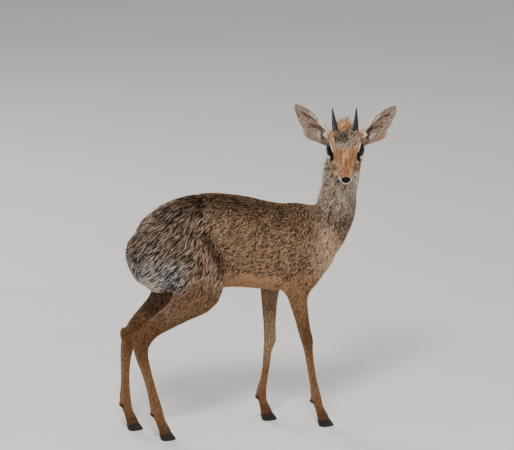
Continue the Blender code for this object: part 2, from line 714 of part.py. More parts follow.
def ear(side):
    """A leaf-shaped cup with a thick root. Its lower half curls forward on the crown's side."""
    name = "ear_left" if side > 0 else "ear_right"
    root, along, facing, across = ear_frame(side)
    levels, columns = 14, 10
    outer, inner = [], []
    for i in range(levels):
        share = i / (levels - 1)
        reach = EAR_STUB + GAP + share * (EAR_LENGTH - EAR_STUB)
        crown, cheek = ear_width(share)
        cup = float(smooth_value(EAR_CUP, share))
        wall = float(smooth_value(EAR_WALL, share))
        curl = smooth_step(share / 0.14) * (1 - smooth_step((share - 0.2) / 0.35))
        ends = (-math.pi / 2 * (1 + 0.42 * curl), math.pi / 2 * (1 + 0.10 * curl))
        middle = root + along * reach - facing * (0.010 * share**2)
        hollow = smooth_step(share / 0.16)
        back_row, front_row = [], []
        for k in range(columns + 1):
            angle = ends[0] + (ends[1] - ends[0]) * k / columns
            wide = crown if angle < 0 else cheek
            c, s = math.cos(angle), math.sin(angle)
            back_row.append(middle + across * (wide * s) - facing * (cup * c))
            inside = (cup - wall) * c * hollow if c > 0 else (cup - wall) * c
            front_row.append(middle + across * (max(wide - wall * 0.8, 0.0003) * s) - facing * inside)
        outer.append(back_row)
        inner.append(front_row)
    made = shell(name, outer, inner)
    made.data.materials.append(material("coat_ear"))
    return made


def smooth_step(t):
    t = min(1.0, max(0.0, t))
    return t * t * (3 - 2 * t)


def shell(name, outer, inner):
    """A closed mesh between two grids of points whose edges are sewn together."""
    rows, columns = len(outer), len(outer[0])
    points = [p for row in outer for p in row] + [p for row in inner for p in row]
    base = rows * columns
    faces = []
    for i in range(rows - 1):
        for k in range(columns - 1):
            a, b = i * columns + k, i * columns + k + 1
            c, d = b + columns, a + columns
            faces += [(a, b, c), (a, c, d)]
            faces += [(base + c, base + b, base + a), (base + d, base + c, base + a)]
    for i in range(rows - 1):
        for k in (0, columns - 1):
            a, d = i * columns + k, (i + 1) * columns + k
            faces.append((a, d, base + d, base + a) if k == 0 else (d, a, base + a, base + d))
    for k in range(columns - 1):
        for i in (0, rows - 1):
            a, b = i * columns + k, i * columns + k + 1
            faces.append((b, a, base + a, base + b) if i == 0 else (a, b, base + b, base + a))
    made = mesh_object(name, points, faces)
    face_out(made)
    return made


def horn_axis(side):
    """Where a horn's axis starts on the skull, and its direction."""
    forward, sideways, up = HORN_LEAN[side]
    root = head_point(HORN_ROOT[0], side * HORN_ROOT[1], HORN_ROOT[2])
    return root, head_direction(forward, side * sideways, up)


def horn(side):
    """A straight tapered horn with rings round its lower half."""
    name = "horn_left" if side > 0 else "horn_right"
    root, along = horn_axis(side)
    front = CROWN_AXIS - along * CROWN_AXIS.dot(along)
    front.normalize()
    side_axis = along.cross(front).normalized()
    start = HORN_SEAT + GAP
    levels = 13
    rings = []
    for i in range(levels):
        share = i / (levels - 1)
        radius = HORN_RADIUS * (1 - share) ** 0.82 + 0.0004
        if share < 0.55:
            radius += 0.00035 * (1 if i % 2 else -1) * (1 - share / 0.55)
        bend = 0.0030 * share**2
        centre = root + along * (start + share * (HORN_LENGTH - start)) + front * bend
        rings.append(ring(centre, front, side_axis, radius * 1.08, radius * 1.08, radius * 0.94, 2.0, 10))
    made = stitch(name, rings)
    made.data.materials.append(material("horn"))
    return made



def cylinder(name, start, direction, radius, length, sides=20):
    """A round cutter from a point along a direction."""
    along = Vector(direction).normalized()
    side = along.orthogonal().normalized()
    front = side.cross(along)
    rings = [ring(start + along * d, front, side, radius, radius, radius, 2.0, sides) for d in (0.0, length)]
    return stitch(name, rings)


def eye(side):
    name = "eye_left" if side > 0 else "eye_right"
    made = blob(name, eye_centre(side), (EYE_RADIUS,) * 3, segments=18)
    made.data.materials.append(material("eye"))
    return made


def lock(name, root, direction, bend, length, width, thickness):
    """A flat tapered lock of hair from a sunk root to a pointed tip."""
    levels = 5
    sink = 0.22
    along = Vector(direction).normalized()
    toward = Vector(bend)
    side = along.cross(toward).normalized()
    rings = []
    for i in range(levels + 1):
        share = i / levels
        reach = (share * (1 + sink) - sink) * length
        centre = root + along * reach + toward * (length * 0.18 * max(0.0, share) ** 2)
        swell = (0.75 + 0.25 * math.sin(math.pi * min(1.0, share * 1.6))) * (1 - share**2.2) + 0.05
        half = thickness * swell
        rings.append(ring(centre, toward.normalized(), side, half, half, width * swell, 2.0, 6))
    return stitch(name, rings)


CREST_ROWS = 4
CREST_COLUMNS = 4
CREST_LENGTH = 0.027


def crest_locks():
    """The tuft of long hair on the crown, which lies back between the horns and towards the left."""
    draw = np.random.default_rng(7)
    made = []
    for i in range(CREST_ROWS):
        for k in range(CREST_COLUMNS):
            ahead = -0.003 - 0.0062 * i + float(draw.uniform(-0.001, 0.001))
            spread = (k - (CREST_COLUMNS - 1) / 2) * 0.0056 + 0.0012 * (-1) ** i
            spread += float(draw.uniform(-0.0006, 0.0006))
            root = head_point(ahead, spread, 0.0296 - 8.0 * spread**2)
            sideways = 16 * spread + 0.32 + float(draw.uniform(-0.16, 0.16))
            lean = head_direction(-0.86, sideways, 0.36 + float(draw.uniform(-0.07, 0.07)))
            bend = head_direction(-0.8, 0.4 + float(draw.uniform(-0.2, 0.2)), -0.30)
            length = CREST_LENGTH * (1.0 - 0.07 * i) * float(draw.uniform(0.82, 1.06))
            made.append(lock("crest_lock", root, lean, bend, length, 0.0042, 0.0017))
    return made


def union_all(obj, pieces):
    """One Boolean union of a node with a collection of closed pieces, which are then removed."""
    gathered = bpy.data.collections.new("gathered")
    bpy.context.scene.collection.children.link(gathered)
    for piece in pieces:
        gathered.objects.link(piece)
        bpy.context.scene.collection.objects.unlink(piece)
    change = obj.modifiers.new("gather", "BOOLEAN")
    change.operation = "UNION"
    change.solver = "EXACT"
    change.operand_type = "COLLECTION"
    change.collection = gathered
    bake_modifiers(obj)
    for piece in list(gathered.objects):
        remove(piece)
    bpy.data.collections.remove(gathered)
    keep_largest(obj)


def make_head():
    """The head with its sockets, seats, mouth and nostrils, and the nose that is cut from it."""
    head = fuse("head", head_pieces(), HEAD_VOXEL, 5, HEAD_TRIANGLES)
    boolean(head, slab("neck_side", HEAD_CUT, HEAD_CUT_NORMAL, size=0.13, depth=0.16), "DIFFERENCE")
    for side in (-1, 1):
        boolean(head, lid_opening(side), "DIFFERENCE")
        boolean(head, blob("socket", eye_centre(side), (EYE_RADIUS + GAP,) * 3, segments=22), "DIFFERENCE")
        root, along = ear_frame(side)[:2]
        boolean(head, cylinder("ear_seat", root + along * EAR_STUB, along, 0.017, 0.020), "DIFFERENCE")
    boolean(head, mouth_band("mouth_line", MOUTH_DROP, 0.0, 0.00055, 0.0022), "DIFFERENCE")
    for side in (-1, 1):
        nostril = head_blob("nostril", (0.0745, side * 0.0046, -0.0042), (0.0040, 0.0013, 0.0024), 12)
        boolean(head, nostril, "DIFFERENCE")
    nose = copy_of(head, "nose")
    boolean(nose, head_blob("nose_region", NOSE_PLACE, NOSE_RADII, 14), "INTERSECT")
    region = [r + GAP for r in NOSE_RADII]
    boolean(head, head_blob("nose_bed", NOSE_PLACE, region, 14), "DIFFERENCE")
    union_all(head, crest_locks())
    for side in (-1, 1):
        root, along = horn_axis(side)
        seat = cylinder("horn_seat", root + along * HORN_SEAT, along, HORN_RADIUS * 1.3, 0.060)
        boolean(head, seat, "DIFFERENCE")
    head.data.materials.append(material("coat_head"))
    nose.data.materials.append(material("nose"))


# A claw's outline: shares of its reach ahead or behind, and of its width
CLAW_SHAPE = [
    (1.0, 0.16),
    (0.80, 0.55),
    (0.42, 0.90),
    (0.0, 1.0),
    (-0.55, 0.96),
    (-0.90, 0.66),
    (-1.0, 0.30),
    (-1.0, 0.0),
    (0.0, 0.0),
    (0.97, 0.0),
]


def hoof_outline(reach, back, wide, rise, slope, side):
    """One claw's outline: pointed at the toe, flat on its inner side and round at the heel."""
    points = []
    for ahead, across in CLAW_SHAPE:
        x = ahead * (reach if ahead > 0 else back)
        points.append(Vector((x, side * (CLAW_INNER + across * wide), rise + slope * x)))
    return points


CLAW_REACH = 0.0165  # from the foot's middle to the toe
CLAW_BACK = 0.0095
CLAW_WIDTH = 0.0094
CLAW_INNER = 0.0007  # from the foot's middle to a claw's flat side
FOOT_AHEAD = 0.003
CORONET_HEIGHT = 0.0125
CORONET_SLOPE = 0.30
CORONET_SHIFT = -0.0035


def hooves(leg, rows):
    """The two claws of one foot, flat underneath, and cut level with the coronet."""
    foot_x = rows[FOOT_ROW][0] + FOOT_AHEAD
    foot_y = rows[FOOT_ROW][1]
    for side in (-1, 1):
        inner_side = side * (1 if foot_y < 0 else -1) > 0
        name = f"hoof_{leg}_{'inner' if inner_side else 'outer'}"
        levels = []
        for share in (0.0, 0.12, 0.55, 1.0):
            edge = 0.97 if share == 0 else 1.0
            reach = CLAW_REACH * (1 - 0.42 * share) * edge
            back = CLAW_BACK * (1 - 0.05 * share)
            wide = CLAW_WIDTH * (1 - 0.10 * share) * edge
            rise = CORONET_HEIGHT * share
            points = hoof_outline(reach, back, wide, rise, CORONET_SLOPE * share, side)
            shift = Vector((foot_x + CORONET_SHIFT * share, foot_y, 0.0))
            levels.append([p + shift for p in points])
        made = stitch(name, levels)
        made.data.materials.append(material("hoof"))


def coronet_plane(rows):
    """A point and the upward normal of the plane that a foot's flesh ends at."""
    foot_x = rows[FOOT_ROW][0] + FOOT_AHEAD + CORONET_SHIFT
    point = Vector((foot_x, rows[FOOT_ROW][1], CORONET_HEIGHT + GAP * 1.2))
    return point, Vector((-CORONET_SLOPE, 0.0, 1.0)).normalized()


TAIL = [
    (-0.176, 0.0, 0.364, 0.0080, 0.0120, 0.0085, 2.0),
    (-0.187, 0.0, 0.353, 0.0080, 0.0130, 0.0098, 2.0),
    (-0.1935, 0.0, 0.338, 0.0068, 0.0130, 0.0096, 2.0),
    (-0.1950, 0.0, 0.324, 0.0048, 0.0110, 0.0070, 2.0),
    (-0.1950, 0.0, 0.3125, 0.0018, 0.0060, 0.0024, 2.0),
]


def swollen(obj, name, by):
    """A copy of an object with every point moved out along its normal."""
    made = copy_of(obj, name)
    normals = [v.normal.copy() for v in made.data.vertices]
    for v, normal in zip(made.data.vertices, normals):
        v.co += normal * by
    return made


def rounding(place):
    """How much joins are rounded off: fully on the trunk, a little at the hocks, not on the feet."""
    return max(smooth_step((place.z - 0.225) / 0.06), 0.25 * smooth_step((place.z - 0.12) / 0.04))


NECK_CUT = Vector((0.160, 0.0, 0.372))
NECK_CUT_NORMAL = Vector((0.75, 0.0, 0.66)).normalized()


def make_body():
    """Trunk, neck and legs, modelled whole and parted with thin cuts."""
    pieces = torso_pieces() + muscle_pieces()
    for name, rows in LEGS.items():
        pieces += leg_pieces(name, rows)
    body = fuse("torso", pieces, BODY_VOXEL, 5, BODY_TRIANGLES, rounding)
    tail = loft("tail", TAIL, (-1, 0, 0.3), sides=12, per_span=3)
    boolean(tail, swollen(body, "tail_bed", GAP), "DIFFERENCE")
    for rows in LEGS.values():
        point, normal = coronet_plane(rows)
        boolean(body, slab("foot_cut", point, -normal, size=0.05, depth=0.05), "DIFFERENCE")
    head_side = slab("head_side", HEAD_CUT + HEAD_CUT_NORMAL * GAP, -HEAD_CUT_NORMAL, size=0.13, depth=0.16)
    boolean(body, head_side, "DIFFERENCE")
    part_legs(body)
    neck = copy_of(body, "neck")
    boolean(neck, slab("neck_low", NECK_CUT, -NECK_CUT_NORMAL), "DIFFERENCE")
    boolean(body, slab("neck_high", NECK_CUT - NECK_CUT_NORMAL * GAP, NECK_CUT_NORMAL), "DIFFERENCE")
    for obj in (body, neck, tail):
        obj.data.materials.append(material("coat_back"))


def grown(outline, by):
    """An outline pushed out by a distance."""
    middle = np.mean(np.array(outline), axis=0)
    count = len(outline)
    out = []
    for k in range(count):
        a, b, c = (np.array(outline[(k + s) % count]) for s in (-1, 0, 1))
        normals = []
        for p, q in ((a, b), (b, c)):
            n = np.array([(q - p)[1], -(q - p)[0]])
            n = n / np.linalg.norm(n)
            normals.append(n if n @ ((p + q) / 2 - middle) > 0 else -n)
        bisector = normals[0] + normals[1]
        out.append(tuple((b + bisector * (by / (1 + normals[0] @ normals[1]))).tolist()))
    return out


def part_legs(body):
    """Parts the four legs from the trunk."""
    for pair, outline in (("hind", THIGH_OUTLINE), ("fore", ARM_OUTLINE)):
        whole = copy_of(body, "whole")
        for side_name, side in (("right", -1), ("left", 1)):
            low, high = sorted((side * GAP / 2, side * 0.2))
            leg = copy_of(whole, f"leg_{pair}_{side_name}")
            boolean(leg, prism("region", outline, low, high), "INTERSECT")
            leg.data.materials.append(material("coat_leg"))
        boolean(body, prism("region_grown", grown(outline, GAP), -0.2, 0.2), "DIFFERENCE")
        remove(whole)


def shade_and_place():
    for obj in bpy.data.objects:
        obj.data.transform(Matrix.Translation(-ORIGIN))
        obj.data.shade_smooth()
        obj.data.set_sharp_from_angle(angle=math.radians(50))


def main():
    clear_scene()
    make_body()
    make_head()
    for side in (-1, 1):
        ear(side)
        horn(side)
        eye(side)
    for leg, rows in LEGS.items():
        hooves(leg, rows)
    shade_and_place()


main()
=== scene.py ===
"""The looks of a Kirk's dik-dik buck: one skin with its coat of tufts, eyes, nose, horns and claws.

Metres, +Z up. The shapes repeat the values of the CAD source. They are written in a working
frame, and each finished piece is moved by -ORIGIN into the part's own frame.
"""

import math

import bmesh
import bpy
import numpy as np
from mathutils import Matrix, Vector
from mathutils.bvhtree import BVHTree


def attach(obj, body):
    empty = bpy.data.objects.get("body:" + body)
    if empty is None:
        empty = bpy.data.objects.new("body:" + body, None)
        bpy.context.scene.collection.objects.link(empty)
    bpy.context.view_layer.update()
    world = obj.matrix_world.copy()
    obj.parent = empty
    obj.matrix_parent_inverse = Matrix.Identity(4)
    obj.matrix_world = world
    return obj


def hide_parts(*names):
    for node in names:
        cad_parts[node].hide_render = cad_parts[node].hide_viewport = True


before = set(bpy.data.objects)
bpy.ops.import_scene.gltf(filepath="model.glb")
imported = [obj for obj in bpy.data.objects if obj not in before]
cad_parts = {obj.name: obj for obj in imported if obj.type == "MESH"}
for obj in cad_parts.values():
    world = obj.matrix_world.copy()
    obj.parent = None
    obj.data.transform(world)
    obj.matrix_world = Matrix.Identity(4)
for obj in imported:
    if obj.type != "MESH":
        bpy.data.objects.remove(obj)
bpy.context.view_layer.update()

# Sizes

MM = 0.001
SIDES = (-1, 1)  # the animal's right and left
ORIGIN = Vector((0.0479, -0.0111, 0.0))
AHEAD = Vector((1, 0, 0))
UPWARD = Vector((0, 0, 1))
GAP = 0.0003  # between neighbouring solids of flesh

HEAD_YAW = math.radians(-107)
HEAD_PITCH = math.radians(32)
EYE_MIDDLE = Vector((0.1901, -0.035, 0.4995))
LOOK = Vector((math.cos(HEAD_YAW), math.sin(HEAD_YAW), 0.0))
MUZZLE_AXIS = math.cos(HEAD_PITCH) * LOOK - math.sin(HEAD_PITCH) * UPWARD
CROWN_AXIS = math.sin(HEAD_PITCH) * LOOK + math.cos(HEAD_PITCH) * UPWARD
HEAD_LEFT = CROWN_AXIS.cross(MUZZLE_AXIS)

EYE_RADIUS = 0.0125
EYE_SPREAD = 0.0205  # from the middle of the head to an eyeball's centre
EYE_TILT = math.radians(14)
LID_LENGTH = 0.0107
LID_HEIGHT = 0.0092
LID_SWELL = 0.0013
LID_THICKNESS = 0.0017
MOUTH_DROP = 0.0134
NOSE_PLACE = (0.0735, 0.0, -0.0036)
NOSE_RADII = (0.0058, 0.0083, 0.0057)

HORN_LENGTH = 0.056
HORN_RADIUS = 0.0062
HORN_ROOT = (-0.021, 0.0175, 0.0265)
HORN_LEAN = {-1: (-0.985, 0.090, -0.050), 1: (-0.985, 0.050, -0.050)}
HORN_SEAT = 0.004  # the horn's foot stands this far out along its axis
HORN_START = -0.003
HORN_RINGS = 15

EAR_LENGTH = 0.0955
EAR_ROOT = (-0.025, 0.0255, -0.001)
EAR_LEAN = {-1: (-0.695, 0.690, 0.252), 1: (-0.665, 0.715, 0.225)}
EAR_STUB = 0.0055  # how far the ear's root stands out of the head
# An ear along its length: half width towards the crown and the cheek, depth of the cup, wall
EAR_CROWN = [(0, 0.0112), (0.15, 0.0114), (0.3, 0.0120), (0.45, 0.0130), (0.6, 0.0136), (0.75, 0.0114)]
EAR_CROWN += [(0.90, 0.0068), (1.0, 0.0006)]
EAR_CHEEK = [(0, 0.0152), (0.10, 0.0188), (0.20, 0.0228), (0.33, 0.0262), (0.5, 0.0240), (0.72, 0.0180)]
EAR_CHEEK += [(0.90, 0.0092), (1.0, 0.0006)]
EAR_CUP = [(0, 0.0095), (0.25, 0.0135), (0.5, 0.0100), (0.8, 0.0044), (1.0, 0.0004)]
EAR_WALL = [(0, 0.0034), (0.3, 0.0022), (0.8, 0.0016), (1.0, 0.0007)]

# A claw's outline: shares of its reach ahead or behind, and of its width
CLAW_SHAPE = [(1.0, 0.16), (0.80, 0.55), (0.42, 0.90), (0.0, 1.0), (-0.55, 0.96)]
CLAW_SHAPE += [(-0.90, 0.66), (-1.0, 0.30), (-1.0, 0.0), (0.0, 0.0), (0.97, 0.0)]
CLAW_REACH = 0.0165  # from the foot's middle to the toe
CLAW_BACK = 0.0095
CLAW_WIDTH = 0.0094
CLAW_INNER = 0.0007  # from the foot's middle to a claw's flat side
CLAW_LEVELS = 22
FOOT_AHEAD = 0.003
CORONET_HEIGHT = 0.0125
CORONET_SLOPE = 0.30
CORONET_SHIFT = -0.0035
FETLOCK_ROW = 11
FOOT_ROW = 13

SKIN_VOXEL = 0.0013
SKIN_TRIANGLES = 185000
COVER = 2.25  # how many tufts lie over each other
LONG_HAIR = 0.0092  # hair over this length gets one more bend


def metres(rows):
    """Rows of millimetres as metres. A row's last number, the power of its section, stays."""
    return [(*(v / 1000 for v in row[:-1]), row[-1]) for row in rows]


# Torso: x, top, height of the widest part, bottom, half width, power
TORSO = metres([
    (-193.5, 348, 335, 324, 8, 2.0), (-188, 365, 333, 304, 24, 2.1), (-172.5, 386, 330, 280, 39, 2.2),
    (-151, 404, 327, 265, 47, 2.2), (-115, 419.5, 327, 256, 52, 2.2), (-80, 428, 328, 255, 53, 2.2),
    (-40, 429, 329, 258, 53, 2.2), (0, 422, 328, 258, 55, 2.2), (45, 409, 321, 252, 57, 2.2),
    (80, 402, 316, 247, 57, 2.2), (115, 402, 316, 244, 52, 2.1), (145, 401, 321, 270, 44, 2.1),
    (167, 392, 328, 298, 36, 2.0), (188.5, 368, 338, 321, 26, 2.0), (201, 354, 344, 336, 10, 2.0),
])
# Neck, tail and legs: centre, front reach, back reach, half width, power
NECK = metres([
    (138, 0, 322, 38, 36, 40, 2.0), (163, 0, 347, 40, 44, 37, 2.0), (184, 0, 382, 36, 36, 33.5, 2.0),
    (191, 0, 418, 32.5, 33, 31.2, 2.0), (195.5, 0, 447, 30, 32, 33, 2.0),
    (199, -3, 480, 26.5, 28, 31, 2.0), (201, -11, 510, 22, 19, 24, 2.0),
])
TAIL = metres([
    (-176, 0, 364, 8, 12, 8.5, 2.0), (-187, 0, 353, 8, 13, 9.8, 2.0), (-193.5, 0, 338, 6.8, 13, 9.6, 2.0),
    (-195, 0, 324, 4.8, 11, 7, 2.0), (-195, 0, 312.5, 1.8, 6, 2.4, 2.0),
])
LEGS = {
    "hind_right": metres([
        (-95, -30, 372, 40, 48, 18, 2.0), (-92, -36, 335, 58, 66, 27, 2.1),
        (-87, -42, 297, 57, 66, 29, 2.1), (-90, -47, 264, 47, 46, 26, 2.1),
        (-117, -48, 235.5, 26, 24, 19.5, 2.0), (-144, -46, 216.6, 19.5, 19.5, 14.5, 2.0),
        (-168, -43, 200, 16.5, 17.5, 11.5, 2.0), (-183.5, -41, 179, 15.5, 16, 11, 2.0),
        (-183.5, -40, 156, 12, 12, 9.5, 2.0), (-174.5, -40, 123.4, 9.2, 9.2, 8, 2.0),
        (-165.2, -40, 88.2, 8.8, 8.8, 7.8, 2.0), (-157, -40, 56, 10.5, 11.5, 9.2, 2.0),
        (-150, -40, 35, 8.5, 9, 8.4, 2.2), (-142, -40, 16, 10, 10.5, 9.6, 2.4),
        (-138, -40, 2, 10, 11, 9.6, 2.4),
    ]),
    "hind_left": metres([
        (-98, 30, 372, 40, 48, 18, 2.0), (-96, 36, 335, 58, 64, 27, 2.1),
        (-94, 42, 297, 56, 64, 29, 2.1), (-99, 47, 262, 46, 46, 26, 2.1),
        (-124, 48, 229, 26, 24, 19.5, 2.0), (-149, 46, 206, 19.5, 19.5, 14.5, 2.0),
        (-171, 43, 186, 16, 17, 11.5, 2.0), (-183.5, 41, 166, 15, 14, 11, 2.0),
        (-189.5, 40, 143, 11.2, 11.2, 9.5, 2.0), (-191.5, 40, 116, 8.6, 8.6, 8, 2.0),
        (-192, 40, 85, 8.4, 8.4, 7.8, 2.0), (-191.5, 40, 56, 10.2, 11.2, 9.2, 2.0),
        (-186.5, 40, 35, 8.5, 9, 8.4, 2.2), (-179.5, 40, 16, 10, 10.5, 9.6, 2.4),
        (-175.5, 40, 2, 10, 11, 9.6, 2.4),
    ]),
    "fore_right": metres([
        (122, -22, 365, 34, 36, 14, 2.0), (134, -30, 328, 44, 46, 21, 2.0),
        (118, -38, 292, 34, 43, 22, 2.0), (102, -43, 262, 27, 28, 18.5, 2.0),
        (101.5, -44, 237.4, 17.5, 18, 14.5, 2.0), (108, -41.5, 206.7, 13.5, 13.5, 11.5, 2.0),
        (115, -38, 177, 11.5, 11.5, 10, 2.0), (120, -36, 159, 11.5, 10.5, 10.5, 2.2),
        (123.7, -35, 139, 8, 8.5, 8, 2.0), (128.7, -34, 105, 7.2, 7.2, 6.8, 2.0),
        (134, -33, 77, 7.4, 7.4, 7, 2.0), (138.5, -33, 54.5, 9, 10.2, 8.8, 2.0),
        (144, -33.5, 35, 7.5, 8, 8, 2.2), (151, -34, 16, 9.8, 10.2, 9.4, 2.4),
        (155, -34, 2, 9.8, 10.6, 9.4, 2.4),
    ]),
    "fore_left": metres([
        (118, 22, 365, 34, 36, 14, 2.0), (124, 30, 328, 44, 46, 21, 2.0),
        (103, 38, 292, 36, 43, 22, 2.0), (82, 43, 262, 27, 27, 18.5, 2.0),
        (76.5, 44, 233, 17, 17.5, 14.5, 2.0), (75, 41.5, 195, 12.8, 13, 11.5, 2.0),
        (74.5, 39, 165, 11.2, 11.2, 10, 2.0), (73.8, 37.5, 147, 11.8, 10, 10.5, 2.2),
        (69.8, 35.5, 127, 7.8, 8.2, 8, 2.0), (66, 34, 98, 7, 7, 6.8, 2.0),
        (61, 33, 72, 7.2, 7.2, 7, 2.0), (57.5, 33, 52, 9, 10.2, 8.8, 2.0),
        (60.5, 33.5, 34, 7.5, 8, 8, 2.2), (66.5, 34, 16, 9.8, 10.2, 9.4, 2.4),
        (70.5, 34, 2, 9.8, 10.6, 9.4, 2.4),
    ]),
}
# Head: along the muzzle, top, bottom, half width, power, in millimetres
HEAD = [
    (-50, 9, -9, 9, 2.0), (-45, 19, -17, 17, 2.0), (-35, 26, -23, 23, 2.0), (-21, 30.5, -27, 26.5, 2.1),
    (-8, 31, -29.5, 27, 2.2), (4, 28, -29.5, 25, 2.2), (16, 22.5, -28.0, 21.5, 2.2),
    (28, 17.5, -25.2, 18, 2.2), (40, 14, -22.2, 15.7, 2.2), (52, 11.5, -20.3, 14.4, 2.2),
    (60, 9, -19.6, 13.6, 2.2), (66, 6.5, -18.8, 12.2, 2.2), (70, 4, -16.8, 10.4, 2.2),
    (73, 0.5, -13, 7.0, 2.1), (74.5, -3, -9, 3, 2.0),
]
# Masses on both sides, middle and half sizes: haunch, buttock, stifle, shoulder, breast
MUSCLES = [
    (-127, 30, 343, 51, 29, 55), (-148, 30, 312, 39, 26, 49), (-62, 44, 285, 30, 20, 36),
    (120, 31, 324, 43, 20, 52), (154, 17, 322, 24, 19, 29),
]
# The same in the head's own axes. In the middle: muzzle, chin, throat latch
HEAD_MIDDLE = [(58, 0, -4, 14.5, 13.8, 12), (58, 0, -15.5, 12.5, 9.5, 6), (-20, 0, -28, 22, 24, 16)]
# On both sides: brow, cheek bone, jaw muscle, jowl, ear bed, horn bed
HEAD_BOTH = [
    (-2, 19, 12, 17, 9, 8.5), (10, 16, -12.5, 24, 7.8, 8.8), (-5, 20.5, -18.5, 23, 11.8, 15.5),
    (12, 17.2, -18.8, 36, 11.2, 11.6), (-25, 19, 1, 15, 10.5, 16.5), (-20, 15.8, 22.5, 12.5, 8.8, 8),
]


# Meshes


def add_object(name, mesh):
    obj = bpy.data.objects.new(name, mesh)
    bpy.context.scene.collection.objects.link(obj)
    return obj


def from_edit(name, edit):
    mesh = bpy.data.meshes.new(name)
    edit.to_mesh(mesh)
    edit.free()
    return add_object(name, mesh)


def face_out(obj):
    edit = bmesh.new()
    edit.from_mesh(obj.data)
    bmesh.ops.recalc_face_normals(edit, faces=edit.faces)
    if edit.calc_volume(signed=True) < 0:
        bmesh.ops.reverse_faces(edit, faces=edit.faces)
    edit.to_mesh(obj.data)
    edit.free()
    return obj


def mesh_object(name, points, faces):
    mesh = bpy.data.meshes.new(name)
    mesh.from_pydata([tuple(p) for p in points], [], faces)
    mesh.update()
    return face_out(add_object(name, mesh))


def remove(obj):
    mesh = obj.data
    bpy.data.objects.remove(obj)
    bpy.data.meshes.remove(mesh)


def join(name, pieces):
    """One mesh object of all the pieces, which are removed."""
    edit = bmesh.new()
    for piece in pieces:
        edit.from_mesh(piece.data)
        remove(piece)
    return from_edit(name, edit)


def bake_modifiers(obj):
    """Replaces an object's mesh by what its modifiers make of it."""
    graph = bpy.context.evaluated_depsgraph_get()
    graph.update()
    made = bpy.data.meshes.new_from_object(obj.evaluated_get(graph), depsgraph=graph)
    old = obj.data
    obj.modifiers.clear()
    obj.data = made
    bpy.data.meshes.remove(old)


def melt(name, pieces, voxel):
    """Melts overlapping pieces into one closed surface."""
    body = join(name, pieces)
    remesh = body.modifiers.new("melt", "REMESH")
    remesh.mode = "VOXEL"
    remesh.voxel_size = voxel
    bake_modifiers(body)
    return body


def solid_change(obj, cutters, operation="DIFFERENCE"):
    """One Boolean of obj with closed pieces, which are then removed."""
    other = cutters[0] if len(cutters) == 1 else join("cutters", cutters)
    change = obj.modifiers.new("change", "BOOLEAN")
    change.operation = operation
    change.solver = "MANIFOLD"
    change.object = other
    bake_modifiers(obj)
    remove(other)


def keep_largest(obj):
    """Keeps only the largest closed surface of an object."""
    edit = bmesh.new()
    edit.from_mesh(obj.data)
    unseen = set(edit.verts)
    groups = []
    while unseen:
        todo = [unseen.pop()]
        group = set(todo)
        while todo:
            for edge in todo.pop().link_edges:
                for v in edge.verts:
                    if v in unseen:
                        unseen.discard(v)
                        group.add(v)
                        todo.append(v)
        groups.append(group)
    groups.sort(key=len)
    loose = [v for group in groups[:-1] for v in group]
    bmesh.ops.delete(edit, geom=loose, context="VERTS")
    edit.to_mesh(obj.data)
    edit.free()


def read(items, key, width=3, kind=np.float32):
    flat = np.empty(len(items) * width, kind)
    items.foreach_get(key, flat)
    return flat.reshape(-1, width)


def read_points(obj):
    return read(obj.data.vertices, "co").astype(float)


def read_normals(obj):
    return read(obj.data.vertices, "normal").astype(float)


def write_points(obj, points):
    obj.data.vertices.foreach_set("co", points.astype(np.float32).ravel())
    obj.data.update()


def relax(obj, rounds, amount=None):
    """Evens out a surface. amount says for every point how much, from 0 to 1."""
    points = read_points(obj)
    a, b = read(obj.data.edges, "vertices", 2, np.int32).T
    count = len(points)
    degree = np.maximum(np.bincount(a, minlength=count) + np.bincount(b, minlength=count), 1)
    factor = 0.25 if amount is None else 0.25 * amount[:, None]
    for _ in range(rounds):
        total = np.empty_like(points)
        for axis in range(3):
            values = points[:, axis]
            total[:, axis] = np.bincount(a, values[b], count) + np.bincount(b, values[a], count)
        points += factor * (total / degree[:, None] - points)
    write_points(obj, points)


# Curves and plain forms


def ring_angles(count):
    return [2 * math.pi * k / count for k in range(count)]


def smooth_step(t):
    t = min(1.0, max(0.0, t))
    return t * t * (3 - 2 * t)


def curve_point(a, b, c, d, t):
    """A place between b and c on the smooth curve through four points."""
    return 0.5 * (2 * b + (c - a) * t + (2 * a - 5 * b + 4 * c - d) * t**2 + (3 * b - a - 3 * c + d) * t**3)


def smooth_rows(rows, per_span):
    """Rows of numbers along a smooth curve through the given rows."""
    keys = np.array([[float(v) for v in row] for row in rows])
    padded = np.vstack([2 * keys[0] - keys[1], keys, 2 * keys[-1] - keys[-2]])
    out = []
    for i in range(len(keys) - 1):
        for k in range(per_span):
            out.append(curve_point(*padded[i : i + 4], k / per_span))
    out.append(keys[-1])
    return np.array(out)


def smooth_value(table, at):
    """The value at one place of a smooth curve through a table of places and values."""
    rows = smooth_rows(table, 6)
    return np.interp(at, rows[:, 0], rows[:, 1])


def stitch(name, rings, closed=False):
    """A mesh over rings of equal count, with flat ends or closed into a loop."""
    sides = len(rings[0])
    faces = []
    for i in range(len(rings) if closed else len(rings) - 1):
        j = (i + 1) % len(rings)
        for k in range(sides):
            n = (k + 1) % sides
            faces.append((i * sides + k, i * sides + n, j * sides + n, j * sides + k))
    if not closed:
        faces.append(tuple(range(sides))[::-1])
        faces.append(tuple((len(rings) - 1) * sides + k for k in range(sides)))
    return mesh_object(name, [p for r in rings for p in r], faces)


